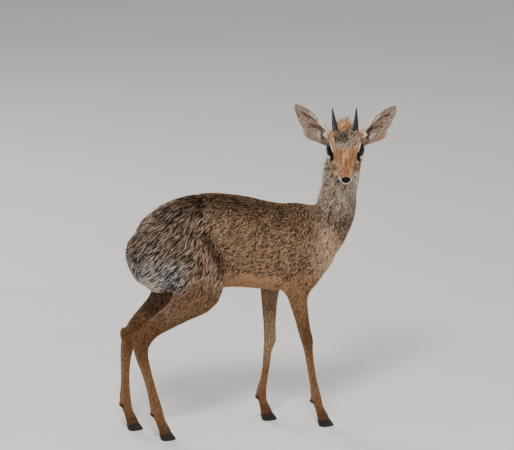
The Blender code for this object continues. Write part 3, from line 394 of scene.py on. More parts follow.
def loft(name, rows, hint, end_hint=None, sides=20, per_span=3):
    """A closed body along a curve. A row is x, y, z, front reach, back reach, half width, power.

    The front of a section points along hint, which may turn into end_hint along the way.
    """
    smooth = smooth_rows(rows, per_span).tolist()
    centres = [Vector(row[:3]) for row in smooth]
    last = len(smooth) - 1
    rings = []
    for i, row in enumerate(smooth):
        tangent = (centres[min(i + 1, last)] - centres[max(i - 1, 0)]).normalized()
        wanted = Vector(hint) if end_hint is None else Vector(hint).slerp(Vector(end_hint), i / last)
        side_axis = tangent.cross(wanted).normalized()
        front_axis = side_axis.cross(tangent).normalized()
        front, back, half_width = (max(v, 0.0004) for v in row[3:6])
        points = []
        for angle in ring_angles(sides):
            c, s = math.cos(angle), math.sin(angle)
            along = math.copysign(abs(c) ** (2 / row[6]), c) * (front if c >= 0 else back)
            across = math.copysign(abs(s) ** (2 / row[6]), s) * half_width
            points.append(centres[i] + along * front_axis + across * side_axis)
        rings.append(points)
    return stitch(name, rings)


def shell(name, outer, inner):
    """A closed mesh between two grids of points whose edges are sewn together."""
    rows, columns = len(outer), len(outer[0])
    base = rows * columns
    faces = []
    for i in range(rows - 1):
        for k in range(columns - 1):
            a, b = i * columns + k, i * columns + k + 1
            c, d = b + columns, a + columns
            faces += [(a, b, c), (a, c, d)]
            faces += [(base + c, base + b, base + a), (base + d, base + c, base + a)]
    for i in range(rows - 1):
        for k in (0, columns - 1):
            a, d = i * columns + k, (i + 1) * columns + k
            faces.append((a, d, base + d, base + a) if k == 0 else (d, a, base + a, base + d))
    for k in range(columns - 1):
        for i in (0, rows - 1):
            a, b = i * columns + k, i * columns + k + 1
            faces.append((b, a, base + a, base + b) if i == 0 else (a, b, base + b, base + a))
    return mesh_object(name, [p for row in outer + inner for p in row], faces)


def blob(name, centre, radii, axes=None, segments=20):
    """An ellipsoid. axes are three directions at right angles, the world's own if left out."""
    edit = bmesh.new()
    bmesh.ops.create_uvsphere(edit, u_segments=segments, v_segments=segments // 2, radius=1.0)
    turn = Matrix([list(a) for a in axes]).transposed() if axes else Matrix.Identity(3)
    for v in edit.verts:
        v.co = centre + turn @ Vector([v.co[i] * radii[i] for i in range(3)])
    return face_out(from_edit(name, edit))


def foot_cutter(rows):
    """A block under the sloping plane that a foot's flesh ends at."""
    edit = bmesh.new()
    bmesh.ops.create_cube(edit, size=1.0)
    place = (rows[FOOT_ROW][0] + FOOT_AHEAD + CORONET_SHIFT, rows[FOOT_ROW][1], CORONET_HEIGHT + GAP * 1.2)
    away = -Vector((-CORONET_SLOPE, 0.0, 1.0)).normalized()
    turn = away.to_track_quat("Z", "Y").to_matrix()
    for v in edit.verts:
        v.co = Vector(place) + turn @ Vector((v.co.x * 0.05, v.co.y * 0.05, (v.co.z + 0.5) * 0.05))
    return face_out(from_edit("foot_cut", edit))


# The head's own places


def head_point(forward, left, up):
    """A point given along the muzzle, to the animal's left and towards the crown, from between the eyes."""
    return EYE_MIDDLE + forward * MUZZLE_AXIS + left * HEAD_LEFT + up * CROWN_AXIS


def head_direction(forward, left, up):
    return (forward * MUZZLE_AXIS + left * HEAD_LEFT + up * CROWN_AXIS).normalized()


def head_blob(name, place, radii, segments=20):
    return blob(name, head_point(*place), radii, (MUZZLE_AXIS, HEAD_LEFT, CROWN_AXIS), segments)


def head_form(row, side=1):
    forward, left, up, *radii = (v / 1000 for v in row)
    return head_blob("form", (forward, side * left, up), radii)


def eye_centre(side):
    return head_point(0.0, side * EYE_SPREAD, 0.0)


def eye_axes(side):
    """An eye's outward direction, its long direction and its upright direction."""
    out = head_direction(0.36, side * 0.86, 0.36)
    along = (MUZZLE_AXIS - out * MUZZLE_AXIS.dot(out)).normalized()
    upright = out.cross(along).normalized()
    if upright.dot(CROWN_AXIS) < 0:
        upright = -upright
    c, s = math.cos(EYE_TILT), math.sin(EYE_TILT)
    return out, c * along - s * upright, c * upright + s * along


def almond(side, scale, count=28):
    """The opening between an eye's lids, on the eyeball."""
    centre = eye_centre(side)
    out, along, upright = eye_axes(side)
    path = []
    for angle in ring_angles(count):
        reach = math.cos(angle) * LID_LENGTH * scale * (1.0 + 0.22 * max(0.0, math.cos(angle)) ** 6)
        rise = math.sin(angle) * LID_HEIGHT * scale * (1 - 0.25 * abs(math.cos(angle)) ** 3)
        depth = math.sqrt(max(0.0, (EYE_RADIUS + 0.0006) ** 2 - reach**2 - rise**2))
        path.append(centre + along * reach + upright * rise + out * depth)
    return path


def lid_rim(side):
    """The thick rim of the two eyelids, a tube along the opening."""
    centre = eye_centre(side)
    path = almond(side, 1.14)
    rings = []
    for k, p in enumerate(path):
        tangent = (path[(k + 1) % len(path)] - path[k - 1]).normalized()
        normal = (p - centre).normalized()
        across = tangent.cross(normal).normalized()
        rings.append([p + LID_SWELL * (math.cos(a) * normal + math.sin(a) * across) for a in ring_angles(8)])
    return stitch("lid_rim", rings, closed=True)


def lid_opening(side):
    """A cutter that widens from inside the eyeball out through the lids."""
    centre = eye_centre(side)
    path = almond(side, 1.0)
    return stitch("lid_opening", [[centre + (p - centre) * f for p in path] for f in (0.70, 1.0, 1.5, 2.4)])


def muzzle_outline(drop, inset, back):
    """Points at one level under the eye line, from the left cheek round the nose to the right cheek."""
    left = []
    for forward, top, bottom, half_width, power in smooth_rows(HEAD, 4).tolist():
        if forward * MM < back or bottom * MM >= -drop - 0.0005:
            continue
        centre = (top + bottom) / 2 * MM
        reach = (top - bottom) / 2 * MM
        level = min(0.98, abs(-drop - centre) / reach)
        across = half_width * MM * (1 - level**power) ** (1 / power) - inset
        left.append((forward * MM, max(across, 0.0005), -drop))
    tip = left[-1][0] - inset * 0.5
    return left + [(tip + 0.0012, 0.0, -drop)] + [(f, -a, d) for f, a, d in left[::-1]]


def mouth_band(name, drop, inset, half_height, half_depth):
    """A band along the mouth: a swept section that cuts the mouth's line or builds a lip."""
    path = muzzle_outline(drop, inset, 0.040)
    last = len(path) - 1
    rings = []
    for k, (forward, left, up) in enumerate(path):
        tangent = (Vector(path[min(k + 1, last)]) - Vector(path[max(k - 1, 0)])).normalized()
        outward = Vector((tangent.y, -tangent.x, 0.0)).normalized()
        if outward.y * left < 0 and abs(left) > 0.001:
            outward = -outward
        if abs(left) <= 0.001:
            outward = AHEAD
        taper = min(1.0, 0.35 + 0.16 * min(k, last - k))
        section = []
        for a in ring_angles(8):
            across = math.cos(a) * half_depth * taper
            rise = math.sin(a) * half_height * taper
            section.append(head_point(forward + across * outward.x, left + across * outward.y, up + rise))
        rings.append(section)
    return stitch(name, rings)


def ear_frame(side):
    """An ear's root, its direction, the way its cup faces and the way across it."""
    root = head_point(EAR_ROOT[0], side * EAR_ROOT[1], EAR_ROOT[2])
    forward, sideways, up = EAR_LEAN[side]
    along = head_direction(forward, side * sideways, up)
    facing = head_direction(0.74, side * 0.16, 0.66)
    facing = (facing - along * facing.dot(along)).normalized()
    return root, along, facing, along.cross(facing).normalized() * side


def ear_stub(side):
    """The root of an ear, a short tube that the ear's own piece stands on."""
    root, along, facing = ear_frame(side)[:3]
    rows = []
    for reach, half in ((-0.012, 0.0135), (0.0, 0.0125), (0.008, 0.0118), (0.014, 0.0115)):
        rows.append((*(root + along * reach), 0.8 * half, 0.8 * half, half, 2.0))
    return loft("ear_stub", rows, facing, sides=18, per_span=2)


# The flesh


def body_pieces():
    """The trunk, the neck's root, the masses that round them out, and the legs."""
    rows = [(x, 0.0, mid, top - mid, mid - low, half, power) for x, top, mid, low, half, power in TORSO]
    pieces = [
        loft("torso_core", rows, UPWARD, sides=32, per_span=4),
        loft("neck_core", NECK, AHEAD, LOOK, sides=28, per_span=4),
        blob("withers", Vector((0.133, 0.0, 0.3725)), (0.037, 0.029, 0.0240)),
    ]
    for side in SIDES:
        for row in MUSCLES:
            x, y, z, *radii = (v / 1000 for v in row)
            pieces.append(blob("muscle", Vector((x, side * y, z)), radii))
    for name, rows in LEGS.items():
        pieces += leg_pieces(name, rows)
    return pieces


def leg_pieces(name, rows):
    """One leg with the point of its hock or elbow, and the dewclaws behind its fetlock."""
    pieces = [loft("leg_core", rows, AHEAD)]
    x, y, z = rows[FETLOCK_ROW][:3]
    for side in SIDES:
        claw = Vector((x - 0.0098, y + side * 0.0050, z - 0.0075))
        pieces.append(blob("dewclaw", claw, (0.0028, 0.0024, 0.0048), segments=12))
    if name.startswith("hind"):
        heel = Vector(rows[7][:3]) + Vector((-0.0110, 0.0, 0.0105))
        pieces.append(blob("heel", heel, (0.0072, 0.0068, 0.0125), segments=14))
        calf = Vector(rows[5][:3]) + Vector((0.004, 0.0, 0.006))
        tendon = []
        for place, radius in ((heel, 0.0064), (heel.lerp(calf, 0.45), 0.0060), (calf, 0.0066)):
            tendon.append((*place, radius, radius, 0.9 * radius, 2.0))
        pieces.append(loft("tendon", tendon, AHEAD, sides=10))
    else:
        elbow = Vector(rows[3][:3]) + Vector((-0.020, 0.0, -0.002))
        pieces.append(blob("elbow", elbow, (0.012, 0.010, 0.014), segments=14))
    return pieces


def head_pieces():
    rows = []
    for forward, top, bottom, half_width, power in HEAD:
        reach = (top - bottom) / 2 * MM
        place = head_point(forward * MM, 0, (top + bottom) / 2 * MM)
        rows.append((*place, reach, reach, half_width * MM, power))
    neck_hint = AHEAD.slerp(LOOK, 2 / (len(NECK) - 1))
    pieces = [
        loft("skull", rows, CROWN_AXIS, sides=32, per_span=4),
        loft("neck_top", NECK[2:], neck_hint, LOOK, sides=28, per_span=4),
    ]
    pieces += [head_form(row) for row in HEAD_MIDDLE]
    for side in SIDES:
        brow, *others = (head_form(row, side) for row in HEAD_BOTH)
        lids = blob("lids", eye_centre(side), (EYE_RADIUS + LID_THICKNESS,) * 3)
        pieces += [brow, lids, *others, ear_stub(side), lid_rim(side)]
    pieces.append(mouth_band("upper_lip", MOUTH_DROP - 0.0018, 0.0010, 0.0018, 0.0018))
    pieces.append(mouth_band("lower_lip", MOUTH_DROP + 0.0018, 0.0016, 0.0016, 0.0016))
    return pieces


def make_flesh():
    """The whole animal out to its coat tips, and the head alone for the nose pad."""
    body = melt("body", body_pieces(), 0.0024)
    relax(body, 30, ramp(read_points(body)[:, 2], 0.225, 0.285))
    relax(body, 5)
    head = melt("head_flesh", head_pieces(), 0.0011)
    relax(head, 6)
    nose_head = add_object("nose_pad", head.data.copy())
    tail = loft("tail_flesh", TAIL, (-1, 0, 0.3), sides=16, per_span=4)
    whole = melt("skin", [body, head, tail], SKIN_VOXEL)
    relax(whole, 3)
    forward, left, up = head_coordinates(read_points(whole))
    relax(whole, 45, spot((forward, up), (24, -20), (36, 13)) * ramp(np.abs(left), 8, 12))
    return whole, nose_head


# Fields over the body

TORSO_PART, NECK_PART, HEAD_PART, TAIL_PART, HIND_PART, FORE_PART = range(6)
PIECE_NAMES = np.array(("torso", "neck", "head", "tail", "hind_legs", "fore_legs"), dtype=object)
BLOCK = 20000  # how many points are compared with the samples at once


def unit(vectors):
    return vectors / np.maximum(np.linalg.norm(vectors, axis=-1, keepdims=True), 1e-9)


def dot(first, second):
    return np.einsum("ij,ij->i", first, second)


def mix(first, second, amount):
    return first * (1 - amount[:, None]) + second * amount[:, None]


def ramp(values, start, end):
    """0 before start, 1 past end and smooth between, for whole arrays."""
    t = np.clip((values - start) / (end - start), 0.0, 1.0)
    return t * t * (3 - 2 * t)


def fade(values, start, end):
    """1 before start, 0 past end and smooth between."""
    return 1 - ramp(values, start, end)


def between(values, start, full, end, none):
    """Rises from start to full and falls again from end to none."""
    return ramp(values, start, full) * fade(values, end, none)


def spot(values, centre, reach):
    """A soft round mark: 1 at the centre, 0 past the reach."""
    total = sum(((v - c) / r) ** 2 for v, c, r in zip(values, centre, reach))
    return fade(np.sqrt(total), 0.55, 1.0)


WAVE_DRAW = np.random.default_rng(11)
WAVES = unit(WAVE_DRAW.normal(size=(3, 18, 3)))
PHASES = WAVE_DRAW.uniform(0, 2 * math.pi, size=(3, 18))


def ripple(points, wavelength, layer=0):
    """Smooth noise between about -1 and 1, with the given wavelength."""
    spread = np.linspace(0.7, 1.45, len(WAVES[layer]))[:, None]
    angle = points @ (WAVES[layer] * spread * (2 * math.pi / wavelength)).T + PHASES[layer]
    return np.sin(angle).sum(axis=1) / 3.4


def head_coordinates(points):
    """Millimetres along the muzzle, to the left and towards the crown, from between the eyes."""
    axes = np.array([MUZZLE_AXIS, HEAD_LEFT, CROWN_AXIS])
    return ((points - np.array(EYE_MIDDLE)) @ axes.T).T / MM


def eye_coordinates(points, side):
    """Millimetres along an eye, up it and out of it, and the distance as a share of the lids' opening."""
    away = (points - np.array(eye_centre(side))) / MM
    out, along, upright = (np.array(a) for a in eye_axes(side))
    reach, rise = away @ along, away @ upright
    return reach, rise, away @ out, np.hypot(reach / (LID_LENGTH / MM), rise / (LID_HEIGHT / MM))


def ear_coordinates(points, side):
    """How far along an ear, across it and out of its cup a point lies, in millimetres."""
    root, along, facing, across = (np.array(v) for v in ear_frame(side))
    away = points - root
    return away @ along / MM, away @ across / MM, away @ facing / MM


def ear_mask(points, side):
    """1 on the free part of an ear."""
    along, across, facing = ear_coordinates(points, side)
    return ramp(along, 4.0, 9.0) * fade(np.hypot(across, facing), 27, 32) * (along < 110)


def head_share(points):
    """1 on the skull and the ears, 0 on the neck, from the sections of the head."""
    forward, left, up = head_coordinates(points)
    rows = smooth_rows(HEAD, 4)
    half = np.interp(forward, rows[:, 0], rows[:, 3]) + 3.0 + 4.0 * ramp(-up, 0, 12)
    centre = np.interp(forward, rows[:, 0], (rows[:, 1] + rows[:, 2]) / 2)
    reach = np.interp(forward, rows[:, 0], (rows[:, 1] - rows[:, 2]) / 2) + 2.0
    share = fade(np.hypot(left / half, (up - centre) / reach), 1.15, 1.45) * ramp(forward, -46, -34)
    return np.max([share, *(ear_mask(points, side) for side in SIDES)], axis=0)


def part_samples():
    """Places along every part's middle: place, radius, lie of the hair, part and share of the way down."""
    rows = []
    for x, _, centre, *_ in smooth_rows(TORSO, 3).tolist():
        lie = Vector((-0.90, 0, -0.42)).lerp(Vector((-0.66, 0, -0.75)), smooth_step((-0.02 - x) / 0.08))
        lie = lie.lerp(Vector((-0.86, 0, -0.50)), smooth_step((-0.14 - x) / 0.05))
        lie = lie.lerp(Vector((-0.55, 0, -0.83)), smooth_step((x - 0.12) / 0.07))
        rows.append((Vector((x, 0, centre)), 0.072, lie, TORSO_PART, 0.0))
    neck = smooth_rows(NECK, 4).tolist()
    for i, row in enumerate(neck):
        ahead = Vector(neck[max(i - 1, 0)][:3]) - Vector(neck[min(i + 1, len(neck) - 1)][:3])
        lie = ahead.normalized() + Vector((-0.25, 0, 0))
        rows.append((Vector(row[:3]), 0.036, lie, NECK_PART, i / len(neck)))
    for row in smooth_rows(HEAD, 2).tolist():
        centre = head_point(row[0] * MM, 0, (row[1] + row[2]) / 2 * MM)
        rows.append((centre, 0.0011 * row[3] + 0.004, -MUZZLE_AXIS, HEAD_PART, 0.0))
    for row in smooth_rows(TAIL, 3).tolist():
        rows.append((Vector(row[:3]), 0.014, Vector((-0.25, 0, -1)), TAIL_PART, 0.0))
    for name, leg in LEGS.items():
        fine = smooth_rows(leg, 5).tolist()
        part = HIND_PART if name.startswith("hind") else FORE_PART
        for i, row in enumerate(fine):
            ahead = Vector(fine[min(i + 1, len(fine) - 1)][:3]) - Vector(fine[max(i - 1, 0)][:3])
            share = i / len(fine)
            back = 1.1 * (1 - share) ** 3 if part == HIND_PART else 0.3 * (1 - share)
            radius = max(0.5 * (row[3] + row[4]), row[5]) * (0.85 if share < 0.3 else 1.0)
            rows.append((Vector(row[:3]), radius, ahead.normalized() + Vector((-back, 0, 0)), part, share))
    centres, radii, lies, parts, shares = zip(*rows)
    lies = np.array([lie.normalized() for lie in lies])
    return np.array(centres), np.array(radii), lies, np.array(parts), np.array(shares)


def body_fields(points):
    """Each point's share in the six parts, the lie of its hair, and how far down its leg it is."""
    centres, radii, lies, parts, shares = part_samples()
    member = np.zeros((len(parts), len(PIECE_NAMES)))
    member[np.arange(len(parts)), parts] = 1.0
    blocks = []
    for start in range(0, len(points), BLOCK):
        near = np.linalg.norm(points[start : start + BLOCK, None, :] - centres[None], axis=2) / radii
        weight = np.exp(-5.0 * (near - near.min(axis=1, keepdims=True))) / (radii * 40 + 1)
        weight /= weight.sum(axis=1, keepdims=True)
        blocks.append((weight @ member, weight @ lies, weight @ shares))
    part_share, lie, down = (np.concatenate(column) for column in zip(*blocks))
    head = head_share(points)
    part_share[:, HEAD_PART] = 0
    part_share[:, NECK_PART] += 1e-6
    part_share /= part_share.sum(axis=1, keepdims=True)
    part_share *= 1 - head[:, None]
    part_share[:, HEAD_PART] = head
    return part_share, unit(lie), down


def comb(points, normals, lie, parts):
    """The lie of the hair along the surface at every point."""
    _, left, up = head_coordinates(points)
    face = -np.array(MUZZLE_AXIS) + np.array(HEAD_LEFT) * (0.022 * left[:, None])
    face = face + np.array(CROWN_AXIS) * np.clip(0.03 * up, -0.9, 0.25)[:, None]
    lie = mix(lie, unit(face), parts[:, HEAD_PART])
    for side in SIDES:
        _, along_axis, _, across_axis = ear_frame(side)
        across = ear_coordinates(points, side)[1]
        way = np.array(along_axis) + np.array(across_axis) * (0.018 * across[:, None])
        lie = mix(lie, unit(way), ear_mask(points, side))
    swirl = 0.16 * ripple(points, 0.05) + 0.10 * ripple(points, 0.02, 1)
    lie = lie + np.cross(normals, lie) * swirl[:, None]
    return unit(lie - normals * dot(lie, normals)[:, None])


# The animal's colours

# As seen, red, green and blue of 255: the dark of the hair, its light, and the share of dark tufts
PALETTE = {
    "back": ((5, 4, 3), (134, 105, 77), 0.70), "flank": ((20, 14, 9), (188, 152, 118), 0.47),
    "rump": ((4, 4, 3), (214, 188, 166), 0.65), "haunch": ((14, 10, 7), (204, 170, 138), 0.42),
    "grey": ((20, 19, 21), (226, 218, 212), 0.52), "white": ((126, 108, 93), (226, 210, 194), 0.22),
    # fold: dark hair for the flank's fold, also painted shade there, along the elbow's creases and on the
    # inner hind leg
    "belly": ((134, 96, 66), (208, 164, 126), 0.22), "fold": ((10, 7, 5), (112, 82, 56), 0.64),
    "thigh": ((50, 34, 21), (150, 116, 86), 0.38), "leg": ((62, 38, 21), (126, 90, 60), 0.30),
    "leg_low": ((82, 52, 30), (156, 114, 78), 0.25), "arm": ((78, 52, 32), (166, 128, 92), 0.33),
    "leg_inside": ((98, 76, 55), (182, 156, 130), 0.25), "neck": ((108, 88, 70), (252, 236, 218), 0.29),
    "nape": ((40, 30, 22), (222, 198, 174), 0.40), "chest": ((92, 68, 48), (224, 192, 160), 0.30),
    "shoulder": ((20, 14, 9), (180, 147, 115), 0.46), "throat": ((150, 128, 108), (240, 222, 204), 0.20),
    "face": ((128, 76, 40), (242, 194, 148), 0.34), "face_dark": ((84, 50, 27), (198, 142, 94), 0.42),
    "face_pale": ((186, 140, 102), (244, 210, 176), 0.20), "streak": ((62, 38, 24), (140, 98, 68), 0.50),
    "forehead": ((14, 12, 12), (228, 202, 176), 0.54), "forehead_dark": ((12, 11, 13), (150, 134, 120), 0.62),
    "forelock": ((150, 92, 48), (250, 204, 154), 0.25), "cheek": ((70, 51, 36), (190, 158, 126), 0.46),
    "smudge": ((64, 44, 30), (124, 96, 74), 0.50), "lip": ((214, 202, 190), (250, 245, 238), 0.08),
    "chin": ((150, 118, 92), (232, 206, 178), 0.25), "ring": ((218, 209, 199), (252, 249, 244), 0.06),
    "black": ((5, 4, 4), (16, 13, 12), 0.50), "ear_back": ((84, 60, 42), (160, 124, 92), 0.35),
    "ear_orange": ((150, 90, 50), (222, 152, 94), 0.30), "ear_inside": ((88, 71, 60), (198, 174, 156), 0.40),
    "ear_ridge": ((58, 36, 22), (118, 78, 50), 0.50), "ear_hollow_shade": ((18, 11, 8), (60, 40, 28), 0.60),
    "ear_white": ((200, 190, 178), (250, 245, 236), 0.10), "foot": ((58, 37, 23), (110, 79, 54), 0.35),
}


def linear(colour):
    """Colours as seen, 0 to 255, as a shader wants them."""
    c = np.array(colour, float) / 255
    return np.where(c <= 0.04045, c / 12.92, ((c + 0.055) / 1.055) ** 2.4)


def markings(points, normals, parts, down):
    """The dark colour, the light colour and the share of dark tufts at every point.

    Every mark is a colour's name and its amount, laid over the marks before it.
    """
    names = list(PALETTE)
    weights = np.zeros((len(names), len(points)))
    weights[names.index("flank")] = 1.0
    marks = [body_marks(points, normals, parts, down), head_marks(points, normals, parts[:, HEAD_PART])]
    marks += [ear_marks(points, normals, side) for side in SIDES]
    for name, amount in (mark for layer in marks for mark in layer):
        amount = np.clip(amount, 0, 1)
        weights *= 1 - amount
        weights[names.index(name)] += amount
    stack = weights.T / np.maximum(weights.T.sum(axis=1, keepdims=True), 1e-6)
    dark, light, share = zip(*PALETTE.values())
    return stack @ linear(dark), stack @ linear(light), stack @ np.array(share)


def fold_line(z):
    """Where the front edge of the haunch runs over the flank: its x at every height."""
    places = (-0.049, -0.042, -0.036, -0.0345, -0.0538, -0.066)
    return np.interp(z, (0.25, 0.27, 0.29, 0.312, 0.356, 0.39), places)


def elbow_creases(x, z):
    """The slanting creases of the skin behind the shoulder, each from 0 to 1."""
    for k in range(4):
        distance = ((z - 0.258) - 0.95 * (x - 0.067) - (k - 1.6) * 0.0090) / 1.38
        yield np.exp(-((distance / 0.0015) ** 2)) * between(x, 0.052, 0.068, 0.108, 0.128)


def nape_side(normals):
    """How far a surface faces the back of the neck."""
    return -(normals[:, 0] * 0.8 + normals[:, 1] * 0.35)


def body_marks(points, normals, parts, down):
    """Trunk, neck, legs and tail."""
    x, y, z = points.T
    _, neck, _, tail, hind, fore = parts.T
    wide = np.abs(y)
    face_x, face_y = normals[:, 0], normals[:, 1]
    wobble = 0.006 * ripple(points, 0.045) + 0.003 * ripple(points, 0.017, 1)
    yield "shoulder", ramp(x + wobble, 0.075, 0.115) * fade(z, 0.38, 0.40)
    yield "haunch", ramp(-x + wobble, 0.020, 0.055)
    rump_line = ramp(-x + wobble + 0.35 * (z - 0.33), 0.070, 0.120)
    yield "rump", rump_line
    yield "grey", rump_line * fade(z + wobble + 0.18 * (x + 0.14), 0.312, 0.346)
    yield "chest", ramp(x + wobble, 0.108, 0.170) * fade(z, 0.345, 0.385)
    yield "chest", 0.85 * fade(z + wobble, 0.262, 0.290) * ramp(x, 0.035, 0.085)
    tops = smooth_rows(TORSO, 3)
    tops = tops[np.argsort(tops[:, 0])]
    drop = np.interp(x, tops[:, 0], tops[:, 1]) - z
    dark_back = fade(drop + wobble, 0.002, 0.058) * (1 - 0.9 * ramp(-x, 0.070, 0.130))
    yield "back", dark_back * (1 - 0.3 * ramp(x, 0.02, 0.10))
    belly_line = 0.294 - 0.16 * np.clip(x + 0.03, 0.0, 0.12)
    under = fade(z + 0.6 * wobble, belly_line - 0.005, belly_line + 0.006)
    yield "belly", under * between(x, -0.040, -0.026, 0.08, 0.13)
    # Dark hair tips and painted shade in front of the haunch's edge, where it overhangs the flank
    fold = np.exp(-(((x - fold_line(z) + 0.007) / 0.011) ** 2))
    yield "fold", 0.85 * fold * ramp(z, 0.286, 0.316) * fade(z + wobble, 0.360, 0.392) * (1 - neck)
    # Painted shade along the creases behind the elbow
    yield "fold", 0.40 * np.max(list(elbow_creases(x, z)), axis=0) * ramp(wide, 0.02, 0.04)
    yield "neck", neck
    yield "nape", neck * ramp(nape_side(normals), 0.30, 0.90) * (1 - 0.35 * ramp(z, 0.425, 0.455))
    yield "flank", 0.85 * neck * ramp(-face_x * 0.45 + face_y * 0.85, 0.35, 0.80)
    # Pale throat hair at the neck's top, partly its own colour and partly painted light that lifts the shade
    # under the chin and muzzle
    yield "throat", neck * ramp(-face_y * 0.8 + face_x * 0.5, 0.15, 0.75) * ramp(z, 0.40, 0.44) * 0.75
    legs = hind + fore
    yield "thigh", hind * fade(z + wobble, 0.262, 0.296)
    yield "arm", fore * fade(z + wobble, 0.272, 0.292)
    yield "leg", legs * ramp(down, 0.28, 0.44) * fade(z, 0.235, 0.262)
    yield "leg_low", legs * fade(z, 0.12, 0.17)
    inner = ramp(-face_y * np.sign(y), 0.15, 0.65)
    yield "leg_inside", 0.75 * inner * fore * between(z, 0.09, 0.14, 0.235, 0.25)
    # Painted shade on the inner side of the hind leg
    yield "fold", 0.25 * inner * hind * between(z, 0.16, 0.19, 0.25, 0.27)
    yield "leg_inside", 0.35 * ramp(-face_x, 0.25, 0.8) * legs * between(z, 0.03, 0.06, 0.17, 0.22)
    yield "foot", legs * fade(z, 0.022, 0.045) * 0.7
    for rows in LEGS.values():
        low = rows[FETLOCK_ROW]
        away = points - np.array((low[0] - 0.0105, low[1], low[2] - 0.0085))
        claws = np.hypot(np.abs(away[:, 1]) - 0.0050, np.hypot(away[:, 0], 0.55 * away[:, 2]))
        yield "black", fade(claws, 0.0028, 0.0040)
    white = spot((x, z), (-0.172, 0.274), (0.030, 0.034))
    yield "white", 0.9 * white * between(wide, 0.008, 0.022, 0.056, 0.066)
    yield "white", 0.6 * inner * ramp(-x, 0.12, 0.15) * between(z, 0.245, 0.265, 0.31, 0.33)
    yield "rump", tail * ramp(-face_x, -0.3, 0.2)
    yield "white", tail * ramp(face_x, -0.1, 0.4)


def head_marks(points, normals, head):
    """The face. fall is how far down it a point lies from the eyes, in millimetres, seen from the front."""
    forward, left, up = head_coordinates(points)
    side = np.abs(left)
    fall = forward - up
    place = (side, fall)
    wobble = 1.2 * ripple(points, 0.012, 1) + 0.7 * ripple(points, 0.005, 2)
    face = head * ramp(normals @ np.array(head_direction(0.55, 0, 0.83)), -0.20, 0.30)
    behind = ramp(-normals @ np.array(head_direction(0.6, 0, 0.8)), 0.1, 0.5)
    yield "cheek", head
    yield "flank", 0.8 * head * ramp(-forward, -4, 12) * behind
    half = np.interp(fall, (-60, -20, 0, 20, 35, 50, 65, 80), (28, 26, 20, 18, 15, 12.5, 10, 9))
    yield "face", face * fade(side + 0.6 * wobble, half - 2.5, half + 1.5)
    yield "face_dark", 0.75 * face * spot(place, (10.5, 20), (6.5, 34))
    hairs = np.stack([left, 0.16 * fall, 0 * left], axis=1) * MM
    grain = 0.5 + 0.5 * np.clip(1.2 * ripple(hairs, 0.0052, 2), -1, 1)
    yield "face_dark", 0.75 * face * grain * fade(-fall, 0, 8)
    pale = np.exp(-((left / 4.2) ** 2) - ((fall - 14) / 15) ** 2)
    yield "face_pale", 0.50 * face * pale * (1 - 0.6 * grain)
    yield "cheek", 0.55 * face * spot(place, (15.5, 40), (6.0, 13))
    yield "streak", 0.5 * face * spot((left, fall), (0, 58), (7.0, 17))
    line = fade(np.abs(left + 0.3 * wobble), 0.7, 1.9)
    yield "streak", 0.85 * face * line * between(fall, 22, 27, 42, 50)
    # A painted highlight along each side ridge of the muzzle
    ridge_highlight = fade(np.abs(side - 13.0 + 0.3 * wobble), 0.8, 2.4)
    yield "face_pale", 0.30 * face * ridge_highlight * between(fall, 30, 38, 60, 68)
    yield "smudge", 0.60 * head * spot(place, (17.0, 49), (5.2, 5.0))
    rooted = fall - 8.0  # the hair lies up the forehead, over its roots' colour
    width = np.interp(rooted, (-80, -62, -48, -36, -22, -13, -5, 1), (9, 14, 18, 21, 20.5, 17, 10, 3))
    patch = fade(side + 0.9 * wobble, width - 2.5, width + 1.5) * ramp(-rooted + 0.8 * wobble, 2, 8)
    yield "forehead", head * patch * ramp(up, 6, 12)
    dark_spot = spot((left + wobble, rooted), (-7, -38), (13, 22)) * ramp(up, 10, 16)
    yield "forehead_dark", 0.9 * head * patch * dark_spot
    yield "throat", head * ramp(-up - 0.02 * forward + 0.5 * wobble, 15, 21) * ramp(forward, -20, 0)
    yield "throat", head * ramp(forward, 38, 48) * ramp(-up, 12.5, 14.5)
    yield "chin", 0.8 * head * ramp(forward, 44, 52) * ramp(-up, 13.5, 15.5) * fade(side, 3.5, 6.5)
    lip_line = np.abs(fall + 0.25 * wobble - (85.0 - 0.115 * side**2)) / (1 + 0.10 * side)
    yield "lip", 0.95 * head * fade(lip_line, 0.7, 1.6) * ramp(forward, 50, 55) * fade(side, 11.5, 13.5)
    for which in SIDES:
        reach, rise, depth, ratio = eye_coordinates(points, which)
        this_side = head * (left * which > 0)
        ours = this_side * (depth > 1)
        thick = 1.30 + 0.26 * ramp(reach * 0.75 + rise * 0.65, 1.0, 8.0)
        yield "ring", ours * fade(ratio + 0.03 * wobble, thick - 0.08, thick + 0.05)
        yield "black", ours * fade(ratio, 1.15, 1.21)
        below = this_side * spot(place, (27.5, 19.5), (6.5, 5.6)) * (ratio > 1.18) * fade(ratio, 1.9, 2.3)
        yield "ring", 0.95 * ramp(below, 0.1, 0.6)
    yield "ring", 0.35 * head * spot(place, (20.5, 33.0), (3.0, 4.0)) * (forward > 8)
    slit = spot((side + 0.2 * wobble, fall), (22.3, 20.5), (3.7, 16.5)) * ramp(forward, 4, 8)
    yield "black", head * ramp(slit, 0.25, 0.6)
    yield "black", head * spot((forward, left, up), (74.5, 0, -3.6), (5.5, 10.2, 7.6))


def ear_width(share):
    """Half the ear's width towards the crown and towards the cheek, at a share of its length."""
    return [float(smooth_value(table, share)) for table in (EAR_CROWN, EAR_CHEEK)]


def ear_ridge_places(share):
    """Where the two long ridges of an ear's inner face run, as shares of its half width."""
    return -0.40 + 1.33 * (share - 0.42), -0.20 + 1.90 * (share - 0.24)


